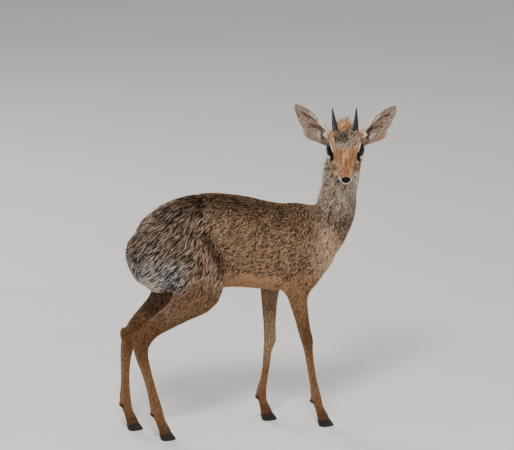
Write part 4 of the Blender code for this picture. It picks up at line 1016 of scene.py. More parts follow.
def ear_marks(points, normals, side):
    """One ear. share is how far along it a point lies, spread how far across, up to -1 and 1 at its edges."""
    along, across, facing = ear_coordinates(points, side)
    mask = ear_mask(points, side)
    _, _, facing_axis, across_axis = (np.array(v) for v in ear_frame(side))
    share = along / (EAR_LENGTH / MM)
    grid = np.linspace(0, 1, 21)
    crown, cheek = (np.interp(share, grid, [ear_width(s)[k] / MM for s in grid]) for k in range(2))
    spread = np.where(across < 0, across / crown, across / cheek)
    inward = -(across_axis * np.sign(across)[:, None]) * 0.9 + facing_axis
    inside = ramp(dot(normals, unit(inward)), -0.05, 0.35)
    inner, outer = mask * inside, mask * (1 - inside)
    wobble = 0.06 * ripple(points, 0.006, 1)
    yield "ear_back", mask
    yield "ear_orange", outer * ramp(-across, -6, 2) * fade(share, 0.5, 0.75)
    yield "ear_orange", 0.9 * outer * ramp(across, 6, 14) * fade(share, 0.4, 0.65)
    yield "ear_inside", inner
    for at, start, end in zip(ear_ridge_places(share), (0.36, 0.14), (0.86, 0.58)):
        line = fade(np.abs(spread - at + wobble), 0.07, 0.19)
        yield "ear_ridge", 0.85 * inner * line * between(share, start, start + 0.08, end - 0.1, end)
    yield "ear_white", 0.40 * inner * spot((spread, share), (0.34, 0.22), (0.30, 0.13))
    at = np.interp(share, (0, 0.1, 0.2, 0.35, 0.5, 0.7), (0.00, -0.12, -0.26, -0.44, -0.58, -0.72))
    # Painted shade deep in the ear's cup, near its root
    hollow = fade(share, 0.20, 0.32) * fade(np.abs(spread - at - 0.44 + 0.5 * wobble), 0.10, 0.24)
    yield "ear_hollow_shade", 0.9 * inner * hollow
    half = np.interp(share, (0, 0.2, 0.5, 0.7), (0.16, 0.22, 0.18, 0.09))
    near = fade(np.hypot(across, facing), 24, 30)
    root_mask = np.maximum(mask, ramp(along, -1, 4) * near * (along < 20) * ramp(facing, -4, 0))
    fringe = fade(np.abs(spread - at + wobble) / half, 0.75, 1.25) * fade(share, 0.55, 0.75)
    yield "ear_white", 0.90 * root_mask * inside * fringe * (1 - 0.5 * fade(share, 0.02, 0.12))
    folded = ramp(at - half - spread + 0.3 * wobble, -0.02, 0.06)
    yield "ear_orange", mask * folded * fade(share, 0.32, 0.46)
    cup = np.interp(share, grid, [smooth_value(EAR_CUP, s) / MM for s in grid])
    turned = (facing + 10 * share**2) / np.maximum(cup, 1.0)
    curled = ramp(turned + 0.5 * wobble, 0.24, 0.42) * (across < 0)
    yield "ear_white", 0.92 * mask * curled * between(share, 0.04, 0.12, 0.45, 0.6)
    pale_rim = np.where(spread < 0, ramp(share, 0.24, 0.36), ramp(share, 0.40, 0.55))
    yield "ear_white", 0.95 * mask * ramp(np.abs(spread), 0.85, 0.92) * pale_rim
    yield "ear_orange", 0.7 * mask * ramp(spread, 0.86, 0.95) * fade(share, 0.42, 0.58)


def coat_sizes(points, normals, parts):
    """Depth of the coat, length and width of its tufts and how far they stand off, in metres."""
    x, _, z = points.T
    torso, neck, head, tail, hind, fore = parts.T
    forward, _, up = head_coordinates(points)
    shag = ramp(-x, 0.015, 0.11) * ramp(z, 0.255, 0.315)
    legs = (hind + fore) * fade(z, 0.235, 0.275)
    low = fade(z, 0.10, 0.19)
    ahead = x - fold_line(z)
    flank_fold = between(-ahead, -0.001, 0.004, 0.018, 0.030) * between(z, 0.270, 0.285, 0.350, 0.375)
    before = ramp(ahead, 0.0, 0.004) * torso
    belly = fade(z, 0.270, 0.298) * torso * ramp(x, -0.040, -0.020)
    nape = ramp(nape_side(normals), 0.0, 0.6)
    muzzle = ramp(forward, 12, 50)
    crown = head * ramp(-forward, -12, 6) * ramp(up, 12, 20)
    jaw = head * ramp(-up - 0.3 * forward, 8, 20)
    # Where a rule holds, then depth, length, width and stand in millimetres. None leaves one alone
    rules = [
        (flank_fold, 3.6, 11.5, None, None),
        (before, 1.6, 7.0, None, None),
        (belly, 1.4, 7.0, 0.9, None),
        (neck, 2.4 + 1.8 * nape, 8.0 + 2.4 * nape, 0.90, 1.0 + 11.0 * nape),
        (legs, 1.1 - 0.3 * low, 6.6 - 2.0 * low, 0.96 - 0.2 * low, None),
        (head, 1.0 - 0.5 * muzzle, 4.8 - 2.2 * muzzle, 0.64 - 0.14 * muzzle, 0.3 + 2.6 * crown + 3.0 * jaw),
        (crown, 2.2, 8.4, 1.05, None),
        (jaw, 1.6, 7.2, None, None),
        (tail, 3.0, 15.0, 1.2, None),
    ]
    for side in SIDES:
        depth, ratio = eye_coordinates(points, side)[2:]
        lid = head * (depth > 2) * fade(ratio, 1.15, 1.9)
        rules += [(ear_mask(points, side), 0.4, 4.6, 0.55, 0.3), (lid, 0.3, 2.2, 0.42, None)]
    sizes = [1.9 + 3.0 * shag, 7.0 + 13.0 * shag, 1.18 - 0.3 * shag, 0.4 + 1.4 * shag]
    for amount, *targets in rules:
        for k, target in enumerate(targets):
            if target is not None:
                sizes[k] = sizes[k] * (1 - amount) + target * amount
    sizes[3] = sizes[3] * (1 - legs)
    return [size * MM for size in sizes]


# The skin


def folds(points, parts):
    """How far the surface sinks or rises, in metres: the flank's fold and the creases at the elbow."""
    x, y, z = points.T
    ahead = x - fold_line(z)
    band = between(z, 0.262, 0.285, 0.345, 0.375)
    rise = -0.0034 * np.exp(-(((ahead - 0.0045) / 0.0050) ** 2)) * band
    rise += 0.0026 * np.exp(-(((ahead + 0.0090) / 0.0100) ** 2)) * band
    for crease in elbow_creases(x, z):
        rise -= 0.0018 * crease
    of_body = parts[:, TORSO_PART] + parts[:, HIND_PART] + parts[:, FORE_PART] > 0.5
    return rise * ramp(np.abs(y), 0.02, 0.04) * of_body


def inset_skin(skin):
    """Moves the flesh in from the coat's tips to the roots of the hair."""
    points, normals = read_points(skin), read_normals(skin)
    parts = body_fields(points)[0]
    move = folds(points, parts) - coat_sizes(points, normals, parts)[0]
    write_points(skin, points + normals * move[:, None])
    relax(skin, 1)


def fine_ear(side):
    """The ear as a thin cup of skin, rooted well inside the head, with the long ridges of its inner face."""
    root, along, facing, across = ear_frame(side)
    levels, columns = 64, 44
    outer, inner = [], []
    for i in range(levels):
        share = -0.10 + 1.10 * i / (levels - 1)
        held = max(share, 0.0)
        reach = EAR_STUB + GAP + share * (EAR_LENGTH - EAR_STUB) - 0.0006 * held
        narrowed = 1 + 2.2 * min(share, 0.0)
        crown, cheek = (max(w - 0.0005 * smooth_step(held / 0.1), 0.0003) * narrowed for w in ear_width(held))
        cup = float(smooth_value(EAR_CUP, held))
        wall = 0.85 * float(smooth_value(EAR_WALL, held))
        curl = smooth_step(held / 0.14) * (1 - smooth_step((held - 0.2) / 0.35))
        first, last = -math.pi / 2 * (1 + 0.42 * curl), math.pi / 2 * (1 + 0.10 * curl)
        middle = root + along * reach - facing * (0.010 * held**2)
        hollow = smooth_step(held / 0.16)
        back_row, front_row = [], []
        for k in range(columns + 1):
            angle = first + (last - first) * k / columns
            wide = crown if angle < 0 else cheek
            c, s = math.cos(angle), math.sin(angle)
            ridge = 0.0
            for at, start, end in zip(ear_ridge_places(held), (0.36, 0.12), (0.92, 0.66)):
                shown = smooth_step((held - start) / 0.12) * (1 - smooth_step((held - end + 0.2) / 0.2))
                ridge += 0.0010 * math.exp(-(((s - at) / 0.10) ** 2)) * shown
            back_row.append(middle + across * (wide * s) - facing * ((cup - 0.0004) * c))
            inside = (cup - wall) * c * hollow if c > 0 else (cup - wall) * c
            sunk = inside - ridge * max(c, 0.0)
            front_row.append(middle + across * (max(wide - wall * 0.8, 0.0002) * s) - facing * sunk)
        outer.append(back_row)
        inner.append(front_row)
    return shell("ear_skin", outer, inner)


def nostrils():
    places = [(0.0745, side * 0.0046, -0.0042) for side in SIDES]
    return [head_blob("nostril", place, (0.0046, 0.0014, 0.0024), 24) for place in places]


def make_skin():
    """One skin for the whole animal, with its eye openings, mouth and nostrils, and the nose pad."""
    skin, nose = make_flesh()
    inset_skin(skin)
    for side in SIDES[::-1]:
        solid_change(skin, [fine_ear(side)], "UNION")
    near = read_points(skin)
    root_amount = np.zeros(len(near))
    for side in SIDES:
        along, across, facing = ear_coordinates(near, side)
        root_amount += spot((along, np.hypot(across, facing)), (2.0, 14.0), (11.0, 15.0))
    relax(skin, 4, np.clip(root_amount, 0, 1))
    cutters = [foot_cutter(rows) for rows in LEGS.values()]
    solid_change(skin, cutters + [lid_opening(side) for side in SIDES])
    socket_radii = (EYE_RADIUS + 0.0001,) * 3
    solid_change(skin, [blob("socket", eye_centre(side), socket_radii, segments=48) for side in SIDES])
    solid_change(skin, [mouth_band("mouth_line", MOUTH_DROP, 0.0, 0.00050, 0.0024)])
    solid_change(nose, nostrils())
    solid_change(skin, nostrils())
    solid_change(nose, [head_blob("nose_region", NOSE_PLACE, NOSE_RADII, 40)], "INTERSECT")
    solid_change(skin, [head_blob("nose_bed", NOSE_PLACE, [r + 0.0001 for r in NOSE_RADII], 40)])
    thin_out(skin)
    for obj in (skin, nose):
        keep_largest(obj)
        obj.data.shade_smooth()
    return skin, nose


def thin_out(skin):
    """Fewer triangles on the body, all of them kept on the head."""
    skin.data.calc_loop_triangles()
    points = read_points(skin)
    group = skin.vertex_groups.new(name="keep")
    high = ramp(points[:, 2], 0.43, 0.47) * ramp(points[:, 0], 0.10, 0.14)
    for index, value in enumerate((0.02 + 0.98 * (1 - high)).tolist()):
        group.add([index], value, "REPLACE")
    thin = skin.modifiers.new("thin", "DECIMATE")
    thin.ratio = min(1.0, SKIN_TRIANGLES / len(skin.data.loop_triangles))
    thin.vertex_group = "keep"
    thin.use_collapse_triangulate = True
    bake_modifiers(skin)
    skin.vertex_groups.clear()


def unwrap(obj):
    """An unwrap of the surface's own shape, named OFBake."""
    obj.data.uv_layers.new(name="OFBake")
    bpy.context.view_layer.objects.active = obj
    for other in bpy.context.selected_objects:
        other.select_set(False)
    obj.select_set(True)
    bpy.ops.object.mode_set(mode="EDIT")
    bpy.ops.mesh.select_all(action="SELECT")
    bpy.ops.uv.smart_project(angle_limit=math.radians(66), island_margin=0.001)
    bpy.ops.object.mode_set(mode="OBJECT")
    obj.select_set(False)


def paint(obj, colours, name="coat"):
    """Stores one colour per point."""
    layer = obj.data.color_attributes.new(name, "FLOAT_COLOR", "POINT")
    rgba = np.ones((len(colours), 4), np.float32)
    rgba[:, :3] = colours
    layer.data.foreach_set("color", rgba.ravel())


# The coat

# Along a tuft: its steps from root to tip, their heights over the skin, its widths and its colours
LONG_TUFT = {
    "steps": np.array([-0.10, 0.34, 0.70, 1.0]),
    "heights": np.array([-0.45, 0.52, 0.90, 0.85]),
    "widths": np.array([0.80, 1.0, 0.66]),
    "shades": [0, 1, 2, 3],
    "most": 12000,
}
SHORT_TUFT = {
    "steps": np.array([-0.10, 0.50, 1.0]),
    "heights": np.array([-0.45, 0.70, 0.85]),
    "widths": np.array([0.85, 0.95]),
    "shades": [0, 2, 3],
    "most": 19000,
}


def surface_of(skin):
    """The skin's triangles: the points and the places in the unwrap of their corners."""
    mesh = skin.data
    mesh.calc_loop_triangles()
    corners = read(mesh.loop_triangles, "vertices", 3, np.int32)
    loops = read(mesh.loop_triangles, "loops", 3, np.int32)
    return corners, read(mesh.uv_layers["OFBake"].data, "uv", 2)[loops]


def scatter(points, corners, spacing, keep, draw):
    """Evenly strewn roots: the triangle of each and its place in it. spacing is per point, in metres."""
    a, b, c = (points[corners[:, k]] for k in range(3))
    area = 0.5 * np.linalg.norm(np.cross(b - a, c - a), axis=1)
    gap = spacing[corners].mean(axis=1)
    wanted = 3.2 * area / gap**2 * keep[corners].mean(axis=1)
    face = np.repeat(np.arange(len(corners)), np.floor(wanted + draw.uniform(size=len(wanted))).astype(int))
    draw.shuffle(face)
    r = np.sqrt(draw.uniform(size=len(face)))
    s = draw.uniform(size=len(face))
    weights = np.stack([1 - r, r * (1 - s), r * s], axis=1)
    places = np.einsum("ij,ijk->ik", weights, points[corners[face]])
    size_class = np.round(np.log(gap[face]) / math.log(1.25))
    cell = np.floor(places / (1.25**size_class)[:, None] + 0.37).astype(np.int64)
    key = (cell[:, 0] * 73856093) ^ (cell[:, 1] * 19349663) ^ (cell[:, 2] * 83492791)
    first = np.sort(np.unique(key * 64 - size_class.astype(np.int64), return_index=True)[1])
    return face[first], weights[first]


def tuft_mesh(name, centre, side, lift, half, thick, colours, uv_root):
    """One mesh of many tufts. Each is a flat, three-sided, tapered lock through a row of centres to a tip."""
    count, rings = centre.shape[:2]
    rings -= 1
    each = rings * 3 + 1
    verts = np.empty((count, each, 3))
    shades = np.empty((count, each, 3))
    patch = np.empty((each, 2))
    faces = [(0, 1, 2)]
    for k in range(rings):
        first = 3 * k
        verts[:, first] = centre[:, k] - side * half[:, k, None]
        verts[:, first + 1] = centre[:, k] + side * half[:, k, None]
        verts[:, first + 2] = centre[:, k] + lift[:, k] * thick[:, k, None]
        shades[:, first : first + 3] = colours[:, k, None, :]
        t = k / rings
        patch[first : first + 3] = [(-1 + 0.6 * t, 2 * t - 1), (1 - 0.6 * t, 2 * t - 1), (0, 2 * t - 1)]
        for j in range(3):
            a, b = first + j, first + (j + 1) % 3
            faces += [(a, a + 3, b + 3), (a, b + 3, b)] if k < rings - 1 else [(a, each - 1, b)]
    verts[:, -1] = centre[:, -1]
    shades[:, -1] = colours[:, -1]
    patch[-1] = (0, 1)
    index = (np.array(faces)[None] + (np.arange(count) * each)[:, None, None]).reshape(-1)
    total = len(index) // 3
    mesh = bpy.data.meshes.new(name)
    mesh.vertices.add(count * each)
    mesh.vertices.foreach_set("co", verts.astype(np.float32).ravel())
    mesh.loops.add(len(index))
    mesh.loops.foreach_set("vertex_index", index.astype(np.int32))
    mesh.polygons.add(total)
    mesh.polygons.foreach_set("loop_start", np.arange(0, len(index), 3, dtype=np.int32))
    mesh.polygons.foreach_set("loop_total", np.full(total, 3, np.int32))
    mesh.update(calc_edges=True)
    obj = add_object(name, mesh)
    paint(obj, shades.reshape(-1, 3))
    uv = (uv_root[:, None, :] + 0.0015 * patch[None]).reshape(-1, 2)
    layer = mesh.uv_layers.new(name="OFBake")
    layer.data.foreach_set("uv", uv[index].astype(np.float32).ravel())
    mesh.shade_smooth()
    return obj


def bend_over(tree, root, way, normal, length, depth, stand, plan):
    """The middle line of every tuft and its upward direction, held to the skin's curve under long ones."""
    steps = plan["steps"]
    centre = np.empty((len(root), len(steps), 3))
    lift = np.empty((len(root), len(steps) - 1, 3))
    for k, (step, rise) in enumerate(zip(steps, plan["heights"])):
        ground = root + way * (length * step)[:, None]
        up = normal.copy()
        for i in np.nonzero(length > 0.0050)[0].tolist() if k else ():
            flat = Vector(ground[i])
            place, facing = tree.find_nearest(flat)[:2]
            if place is not None and (place - flat).length < 0.5 * length[i]:
                ground[i] = place
                if np.array(facing) @ normal[i] > 0.2:
                    up[i] = facing
        centre[:, k] = ground + up * (depth * rise + stand * max(step, 0.0) ** 1.5)[:, None]
        if k < len(steps) - 1:
            lift[:, k] = up
    return centre, lift


def coat_keep(points):
    """Where hair grows: not in the eye openings, the mouth, the nostrils or under the nose pad."""
    forward, left, up = head_coordinates(points)
    keep = np.ones(len(points))
    for side in SIDES:
        near = np.linalg.norm(points - np.array(eye_centre(side)), axis=1)
        depth, ratio = eye_coordinates(points, side)[2:]
        keep *= 1 - (near < EYE_RADIUS + 0.0009) * 1.0
        keep *= 1 - (depth > 0) * (ratio < 1.12) * (near < 0.024)
    pad = np.sqrt(((forward - 73.5) / 6.6) ** 2 + (left / 8.6) ** 2 + ((up + 3.6) / 6.4) ** 2)
    return keep * ramp(pad, 1.0, 1.06) * (1 - (np.abs(up + MOUTH_DROP / MM) < 0.75) * (forward > 40))


def tuft_colours(root, dark, light, share, way, length, draw):
    """Four colours down each tuft. Some tufts are dark with a pale band, the others pale with a dark root.
    Every root is darkened further as painted shade under the tufts that lie over it.
    """
    count = len(root)
    along = dot(root, way)[:, None]
    long = ramp(length, 0.0105, 0.017)
    fine = ripple(root - way * along * 0.55, 0.0031, 0)
    streaks = ripple(root - way * along * 0.84, 0.0050, 1)
    pattern = fine * (1 - long) + streaks * long
    chance = 0.5 + 0.48 * pattern + draw.normal(0, 0.15, count)
    is_dark = ramp(share + 0.12 * long - chance + 0.5, 0.44, 0.56)
    tone = 1 + (0.24 - 0.08 * ramp(length, 0.005, 0.007)) * draw.normal(size=count)
    tone = np.clip(tone - 0.16 * np.clip(fine, -1, 1), 0.6, 1.5)[:, None]
    pale, deep = light * tone, dark * tone
    second = mix(0.35 * deep + 0.65 * pale, deep, is_dark)
    third = mix(pale, deep * 0.92 + pale * 0.08, is_dark)
    tip = mix(pale * 1.10, deep * 0.85, is_dark)
    # The root colour, the dark at 0.7, is painted shade under the overlying tufts
    return np.stack([deep * 0.7, second, third, tip], axis=1), is_dark


def piece_labels(root, parts, long):
    """The name of the coat piece that each tuft belongs to."""
    label = PIECE_NAMES[np.argmax(parts, axis=1)]
    label[~long] += "_short"
    for side, name in ((1, "ear_left"), (-1, "ear_right")):
        label[ear_mask(root, side) > 0.5] = name
    return label


def grow_coat(skin, points, normals, parts, colours, lie, sizes):
    """Tufts over the whole skin, laid along it, in several meshes."""
    depth, length, width, stand = sizes
    corners, uv = surface_of(skin)
    draw = np.random.default_rng(5)
    quick_scale = 1.0
    dense = COVER * (1 + 0.7 * ramp(length, 0.010, 0.017))
    spacing = np.sqrt(length * width / dense) * quick_scale
    face, bary = scatter(points, corners, spacing, coat_keep(points), draw)
    index = corners[face]

    def at(values):
        return np.einsum("ij,ij...->i...", bary, values[index])

    root, normal, way = at(points), unit(at(normals)), at(lie)
    size_l, size_w, size_d = at(length), at(width), at(depth)
    count = len(root)
    size_s = at(stand) * draw.uniform(size=count) ** 3.5
    turn = draw.normal(0, 0.13, count) + 0.12 * ripple(root, 0.008, 2)
    turn *= 1 - 0.5 * ramp(size_l, 0.012, 0.020)
    way = unit(way - normal * dot(way, normal)[:, None])
    way = unit(way * np.cos(turn)[:, None] + np.cross(way, normal) * np.sin(turn)[:, None])
    side = np.cross(way, normal)
    shades, is_dark = tuft_colours(root, *(at(colour) for colour in colours), way, size_l, draw)
    label = piece_labels(root, at(parts), size_l > LONG_HAIR)
    size_l = size_l * draw.uniform(0.70, 1.15, count) * quick_scale**0.5
    size_w = size_w * draw.uniform(0.75, 1.25, count) * quick_scale
    size_d = size_d * draw.uniform(0.55, 1.0, count) * (1 - 0.25 * is_dark * fade(size_l, 0.010, 0.016))
    tree = BVHTree.FromPolygons(points.tolist(), corners.tolist())
    uv_root = np.einsum("ij,ijk->ik", bary, uv[face])
    made = []
    for name in sorted(set(label.tolist())):
        chosen = np.nonzero(label == name)[0]
        chosen = chosen[np.argsort(root[chosen, 0], kind="stable")]
        plan = SHORT_TUFT if (name.endswith("_short") or "ear" in name) else LONG_TUFT
        widths = plan["widths"]
        chunks = max(1, math.ceil(len(chosen) / plan["most"]))
        for number, part in enumerate(np.array_split(chosen, chunks)):
            values = (field[part] for field in (root, way, normal, size_l, size_d, size_s))
            centre, lift = bend_over(tree, *values, plan)
            half = size_w[part, None] * 0.5 * widths[None]
            thick = half * np.linspace(0.55, 0.9, len(widths))[None]
            piece = (centre, side[part], lift, half, thick, shades[part][:, plan["shades"]], uv_root[part])
            made.append(tuft_mesh(f"coat_{name}_{number + 1}", *piece))
    return made


# Wisps of the forelock: along the muzzle, to the left, and how far they lean to the left
WISPS = np.array([
    (-29, -15, 0.75), (-22, -14, 0.95), (-17, -19, 1.15), (-26, -9, 0.60), (-20, -5, 0.72),
    (-31, -6, 0.35), (-12, -17, 1.35), (-24, -17, 0.55), (-15, -12, 1.10),
])


def forelock():
    """The tuft of long blond hair that is rooted right of the crown's middle and swept across to the left."""
    draw = np.random.default_rng(21)
    count = 560
    wisp_ahead, wisp_left, wisp_lean = WISPS[draw.integers(0, len(WISPS), count)].T
    ahead = wisp_ahead + draw.normal(0, 2.2, count)
    spread = wisp_left + draw.normal(0, 2.0, count)
    root, lean, bend = [], [], []
    for a, s, w in zip(ahead.tolist(), spread.tolist(), wisp_lean.tolist()):
        crown_height = 27.6 - 0.010 * s * s - 0.02 * max(0.0, -22 - a) ** 2
        root.append(head_point(a * MM, s * MM, crown_height * MM))
        tilt = draw.normal(0, 0.13)
        lean.append(head_direction(-0.55 + tilt, w + draw.normal(0, 0.17), 0.40 + draw.normal(0, 0.13)))
        bend.append(head_direction(-0.45 + tilt, 0.15 + draw.normal(0, 0.35), -0.40))
    root, lean, bend = np.array(root), np.array(lean), np.array(bend)
    size = 0.022 * draw.uniform(0.50, 1.15, count)
    steps = LONG_TUFT["steps"]
    centre = root[:, None] + lean[:, None] * (size[:, None] * steps)[..., None]
    centre += bend[:, None] * (size[:, None] * 0.24 * np.maximum(steps, 0) ** 2)[..., None]
    side = unit(np.cross(lean, bend))
    lift = np.repeat(unit(np.cross(side, lean))[:, None], 3, axis=1)
    half = (0.00056 * draw.uniform(0.6, 1.3, count))[:, None] * np.array([0.8, 1.0, 0.7])[None]
    dark, light = (linear(colour) for colour in PALETTE["forelock"][:2])
    base = mix(dark, light, draw.uniform(0.0, 1.0, count) ** 0.9)
    blackish = (draw.uniform(size=count) < 0.16)[:, None]
    base = np.where(blackish, linear((30, 22, 18)), base)
    # Darker towards the root: painted shade where the wisps rise out of the coat
    shades = np.stack([base * 0.40, base * 0.85, base, np.where(blackish, base, base * 1.1)], axis=1)
    uv = np.stack([0.3 + 0.001 * spread, 0.3 + 0.001 * ahead], axis=1)
    return tuft_mesh("coat_forelock", centre, side, lift, half, half * 0.7, shades, uv)


# Eyes, horns and claws

EYE_RIM_COLOUR = (6, 4, 4)
IRIS_COLOUR = (30, 13, 8)
PUPIL_COLOUR = (2, 2, 2)


def eye_ball(name, side):
    """A wet eyeball with a low cornea, its poles along the way it looks, with iris and pupil painted on."""
    out, along, upright = eye_axes(side)
    centre = eye_centre(side)
    levels = 40
    rings = []
    for i in range(1, levels):
        angle = math.pi * i / levels
        radius = EYE_RADIUS + 0.0005 * math.exp(-((angle / 0.55) ** 2)) - 0.0001
        ring = []
        for a in ring_angles(64):
            across = math.cos(a) * along + math.sin(a) * upright
            ring.append(centre + radius * (math.cos(angle) * out + math.sin(angle) * across))
        rings.append(ring)
    made = stitch(name, rings)
    points = read_points(made)
    away = (points - np.array(centre)) / EYE_RADIUS
    reach, rise, depth = (away @ np.array(axis) for axis in (along, upright, out))
    iris = fade(np.hypot(reach, rise), 0.70, 0.80) * (depth > 0)
    pupil = fade(np.hypot(reach / 0.46, rise / 0.26), 0.82, 1.0) * (depth > 0)
    shade = linear(IRIS_COLOUR) * (0.55 + 0.45 * ripple(points, 0.0022)[:, None] ** 2)
    colours = mix(mix(linear(EYE_RIM_COLOUR), shade, iris), linear(PUPIL_COLOUR), pupil)
    paint(made, colours, "tint")
    made.data.shade_smooth()
    return made


def fine_horn(name, side):
    """A tapered horn with close rings round its lower half and fine grooves above."""
    forward, sideways, up = HORN_LEAN[side]
    root = head_point(HORN_ROOT[0], side * HORN_ROOT[1], HORN_ROOT[2])
    along = head_direction(forward, side * sideways, up)
    front = (CROWN_AXIS - along * CROWN_AXIS.dot(along)).normalized()
    side_axis = along.cross(front).normalized()
    levels = 110
    rings = []
    for i in range(levels + 1):
        reach = HORN_START + i / levels * (HORN_LENGTH - HORN_START)
        held = max(0.0, (reach - HORN_SEAT) / (HORN_LENGTH - HORN_SEAT))
        wave = 0.00042 * max(-0.4, math.sin(2 * math.pi * held * HORN_RINGS))
        wave *= (1 - smooth_step((held - 0.25) / 0.32)) * (0.3 + 0.7 * smooth_step(held / 0.06))
        radius = (HORN_RADIUS - 0.0012) * (1 - held) ** 0.78 + 0.0007 + wave
        centre = root + along * reach + front * (0.0030 * held**2)
        ring = []
        for a in ring_angles(28):
            groove = 1 - 0.022 * (1 + math.cos(9 * a + 3 * held)) * smooth_step(held / 0.2)
            outward = 1.08 * math.cos(a) * front + 0.94 * math.sin(a) * side_axis
            ring.append(centre + radius * groove * outward)
        rings.append(ring)
    made = stitch(name, rings)
    made.data.shade_smooth()
    return made


def fine_claw(name, rows, side):
    """One claw of a foot, with the rings of growth round its wall."""
    levels = []
    for i in range(CLAW_LEVELS + 1):
        share = i / CLAW_LEVELS
        edge = 1 - 0.035 * (1 - smooth_step(share / 0.08))
        wave = 1 + 0.012 * math.sin(share * 34) * smooth_step(share / 0.1)
        reach = CLAW_REACH * (1 - 0.42 * share) * edge * wave
        back = CLAW_BACK * (1 - 0.05 * share) * edge
        wide = CLAW_WIDTH * (1 - 0.10 * share) * edge * wave
        outline = []
        for ahead, across in CLAW_SHAPE:
            x = ahead * (reach if ahead > 0 else back)
            rise = CORONET_HEIGHT * share + CORONET_SLOPE * share * x
            outline.append(Vector((x, side * (CLAW_INNER + across * wide), rise)))
        middle = Vector((rows[FOOT_ROW][0] + FOOT_AHEAD + CORONET_SHIFT * share, rows[FOOT_ROW][1], 0.0))
        levels.append([p + middle for p in smooth_loop(outline, 4)])
    claw = stitch(name, levels)
    claw.data.shade_smooth()
    claw.data.set_sharp_from_angle(angle=math.radians(50))
    return claw


def smooth_loop(points, per_span):
    """A closed curve of the given points, with its flat inner side kept inside their box."""
    low = min(abs(p.y) for p in points)
    out = []
    for i in range(len(points)):
        keys = [points[(i + k) % len(points)] for k in (-1, 0, 1, 2)]
        for k in range(per_span):
            p = curve_point(*keys, k / per_span)
            if abs(p.y) < low:
                p.y = math.copysign(low, points[3].y)
            out.append(p)
    return out


# Materials


def connect(tree, node, inputs):
    """Links a node's inputs that are given as sockets and sets the others."""
    for key, value in inputs.items():
        if isinstance(value, bpy.types.NodeSocket):
            tree.links.new(value, node.inputs[key])
        else:
            node.inputs[key].default_value = value


def put(tree, kind, output, inputs, **settings):
    """Adds a shader node and returns one of its outputs."""
    node = tree.nodes.new(kind)
    for key, value in settings.items():
        setattr(node, key, value)
    connect(tree, node, inputs)
    return node.outputs[output]


def noise(tree, scale, detail=3.0, rough=0.55):
    place = put(tree, "ShaderNodeTexCoord", "Object", {})
    inputs = {"Vector": place, "Scale": scale, "Detail": detail, "Roughness": rough}
    return put(tree, "ShaderNodeTexNoise", "Fac", inputs)


def cells(tree, scale):
    place = put(tree, "ShaderNodeTexCoord", "Object", {})
    return put(tree, "ShaderNodeTexVoronoi", "Distance", {"Vector": place, "Scale": scale})


def shift(tree, value, low, high):
    """Turns noise, which mostly runs from 0.3 to 0.7, into values from low to high."""
    inputs = {"Value": value, "From Min": 0.3, "From Max": 0.7, "To Min": low, "To Max": high}
    return put(tree, "ShaderNodeMapRange", "Result", inputs)


def finish(name, colour, tone, rough, relief=None, shine=None):
    """A procedural material.

    colour is a colour or the name of a colour layer. tone is a noise and the range of its mottling,
    rough one number or a noise's scale and range. relief is a texture, or None for the tone's own,
    with its settings, strength and depth. shine has the shader's other inputs.
    """
    made = bpy.data.materials.new(name)
    made.use_nodes = True
    tree = made.node_tree
    mottling = noise(tree, *tone[:-2])
    if isinstance(colour, str):
        base = put(tree, "ShaderNodeVertexColor", "Color", {}, layer_name=colour)
    else:
        base = tuple(colour)
    sockets = dict(shine or {})
    inputs = {0: base, "Scale": shift(tree, mottling, *tone[-2:])}
    sockets["Base Color"] = put(tree, "ShaderNodeVectorMath", "Vector", inputs, operation="SCALE")
    even = isinstance(rough, float)
    sockets["Roughness"] = rough if even else shift(tree, noise(tree, rough[0]), *rough[1:])
    if relief:
        texture, settings, strength, depth = relief
        height = texture(tree, *settings) if texture else mottling
        inputs = {"Height": height, "Strength": strength, "Distance": depth}
        sockets["Normal"] = put(tree, "ShaderNodeBump", "Normal", inputs)
    connect(tree, tree.nodes["Principled BSDF"], sockets)
    return made


HORN_SHINE = {"Specular IOR Level": 0.28}
HORN_COLOUR = (30, 29, 31)
HOOF_COLOUR = (28, 23, 20)
NOSE_COLOUR = (6, 5, 6)
FLOOR_COLOUR = (0.74, 0.725, 0.70)


def coat_finish(name, scale, strength):
    """The skin or the hair, whose colours are stored in their meshes."""
    tone, rough = (scale, 4.0, 0.6, 0.72, 1.25), (160.0, 0.55, 0.75)
    relief = (None, (), strength, 0.0006)
    return finish(name, "coat", tone, rough, relief, {"Specular IOR Level": 0.12})


def horn_finish():
    tone, rough = (420.0, 5.0, 0.55, 1.5), (900.0, 0.36, 0.58)
    relief = (noise, (1500.0, 4.0), 0.35, 0.0004)
    return finish("horn_keratin", linear(HORN_COLOUR), tone, rough, relief, HORN_SHINE)


def hoof_finish():
    tone, rough = (260.0, 5.0, 0.5, 1.9), (700.0, 0.42, 0.68)
    relief = (noise, (1200.0, 4.0), 0.4, 0.0004)
    return finish("hoof_horn", linear(HOOF_COLOUR), tone, rough, relief, HORN_SHINE)


def nose_finish():
    tone, rough = (500.0, 0.6, 1.5), (800.0, 0.22, 0.42)
    relief = (cells, (2300.0,), 0.5, 0.0003)
    return finish("nose_leather", linear(NOSE_COLOUR), tone, rough, relief, {"Specular IOR Level": 0.22})


def eye_finish():
    wet = {"Specular IOR Level": 0.13, "Coat Weight": 0.06, "Coat Roughness": 0.02}
    return finish("eye_wet", "tint", (1800.0, 0.7, 1.3), 0.06, None, wet)


def floor_finish():
    return finish("floor_matt", FLOOR_COLOUR, (3.0, 0.98, 1.02), 0.9)


# Camera, floor and light

AZIMUTH = math.radians(-17)
ELEVATION = math.radians(13)
PIXELS_PER_METRE = 564.0
FRAME_PIXELS = (514, 450)
ORIGIN_PIXEL = (236.0, 427.5)
LENS = 300.0
SENSOR = 36.0
FLOOR_REACH = 40.0
STAGE_MIDDLE = (0, 0, 0.3)
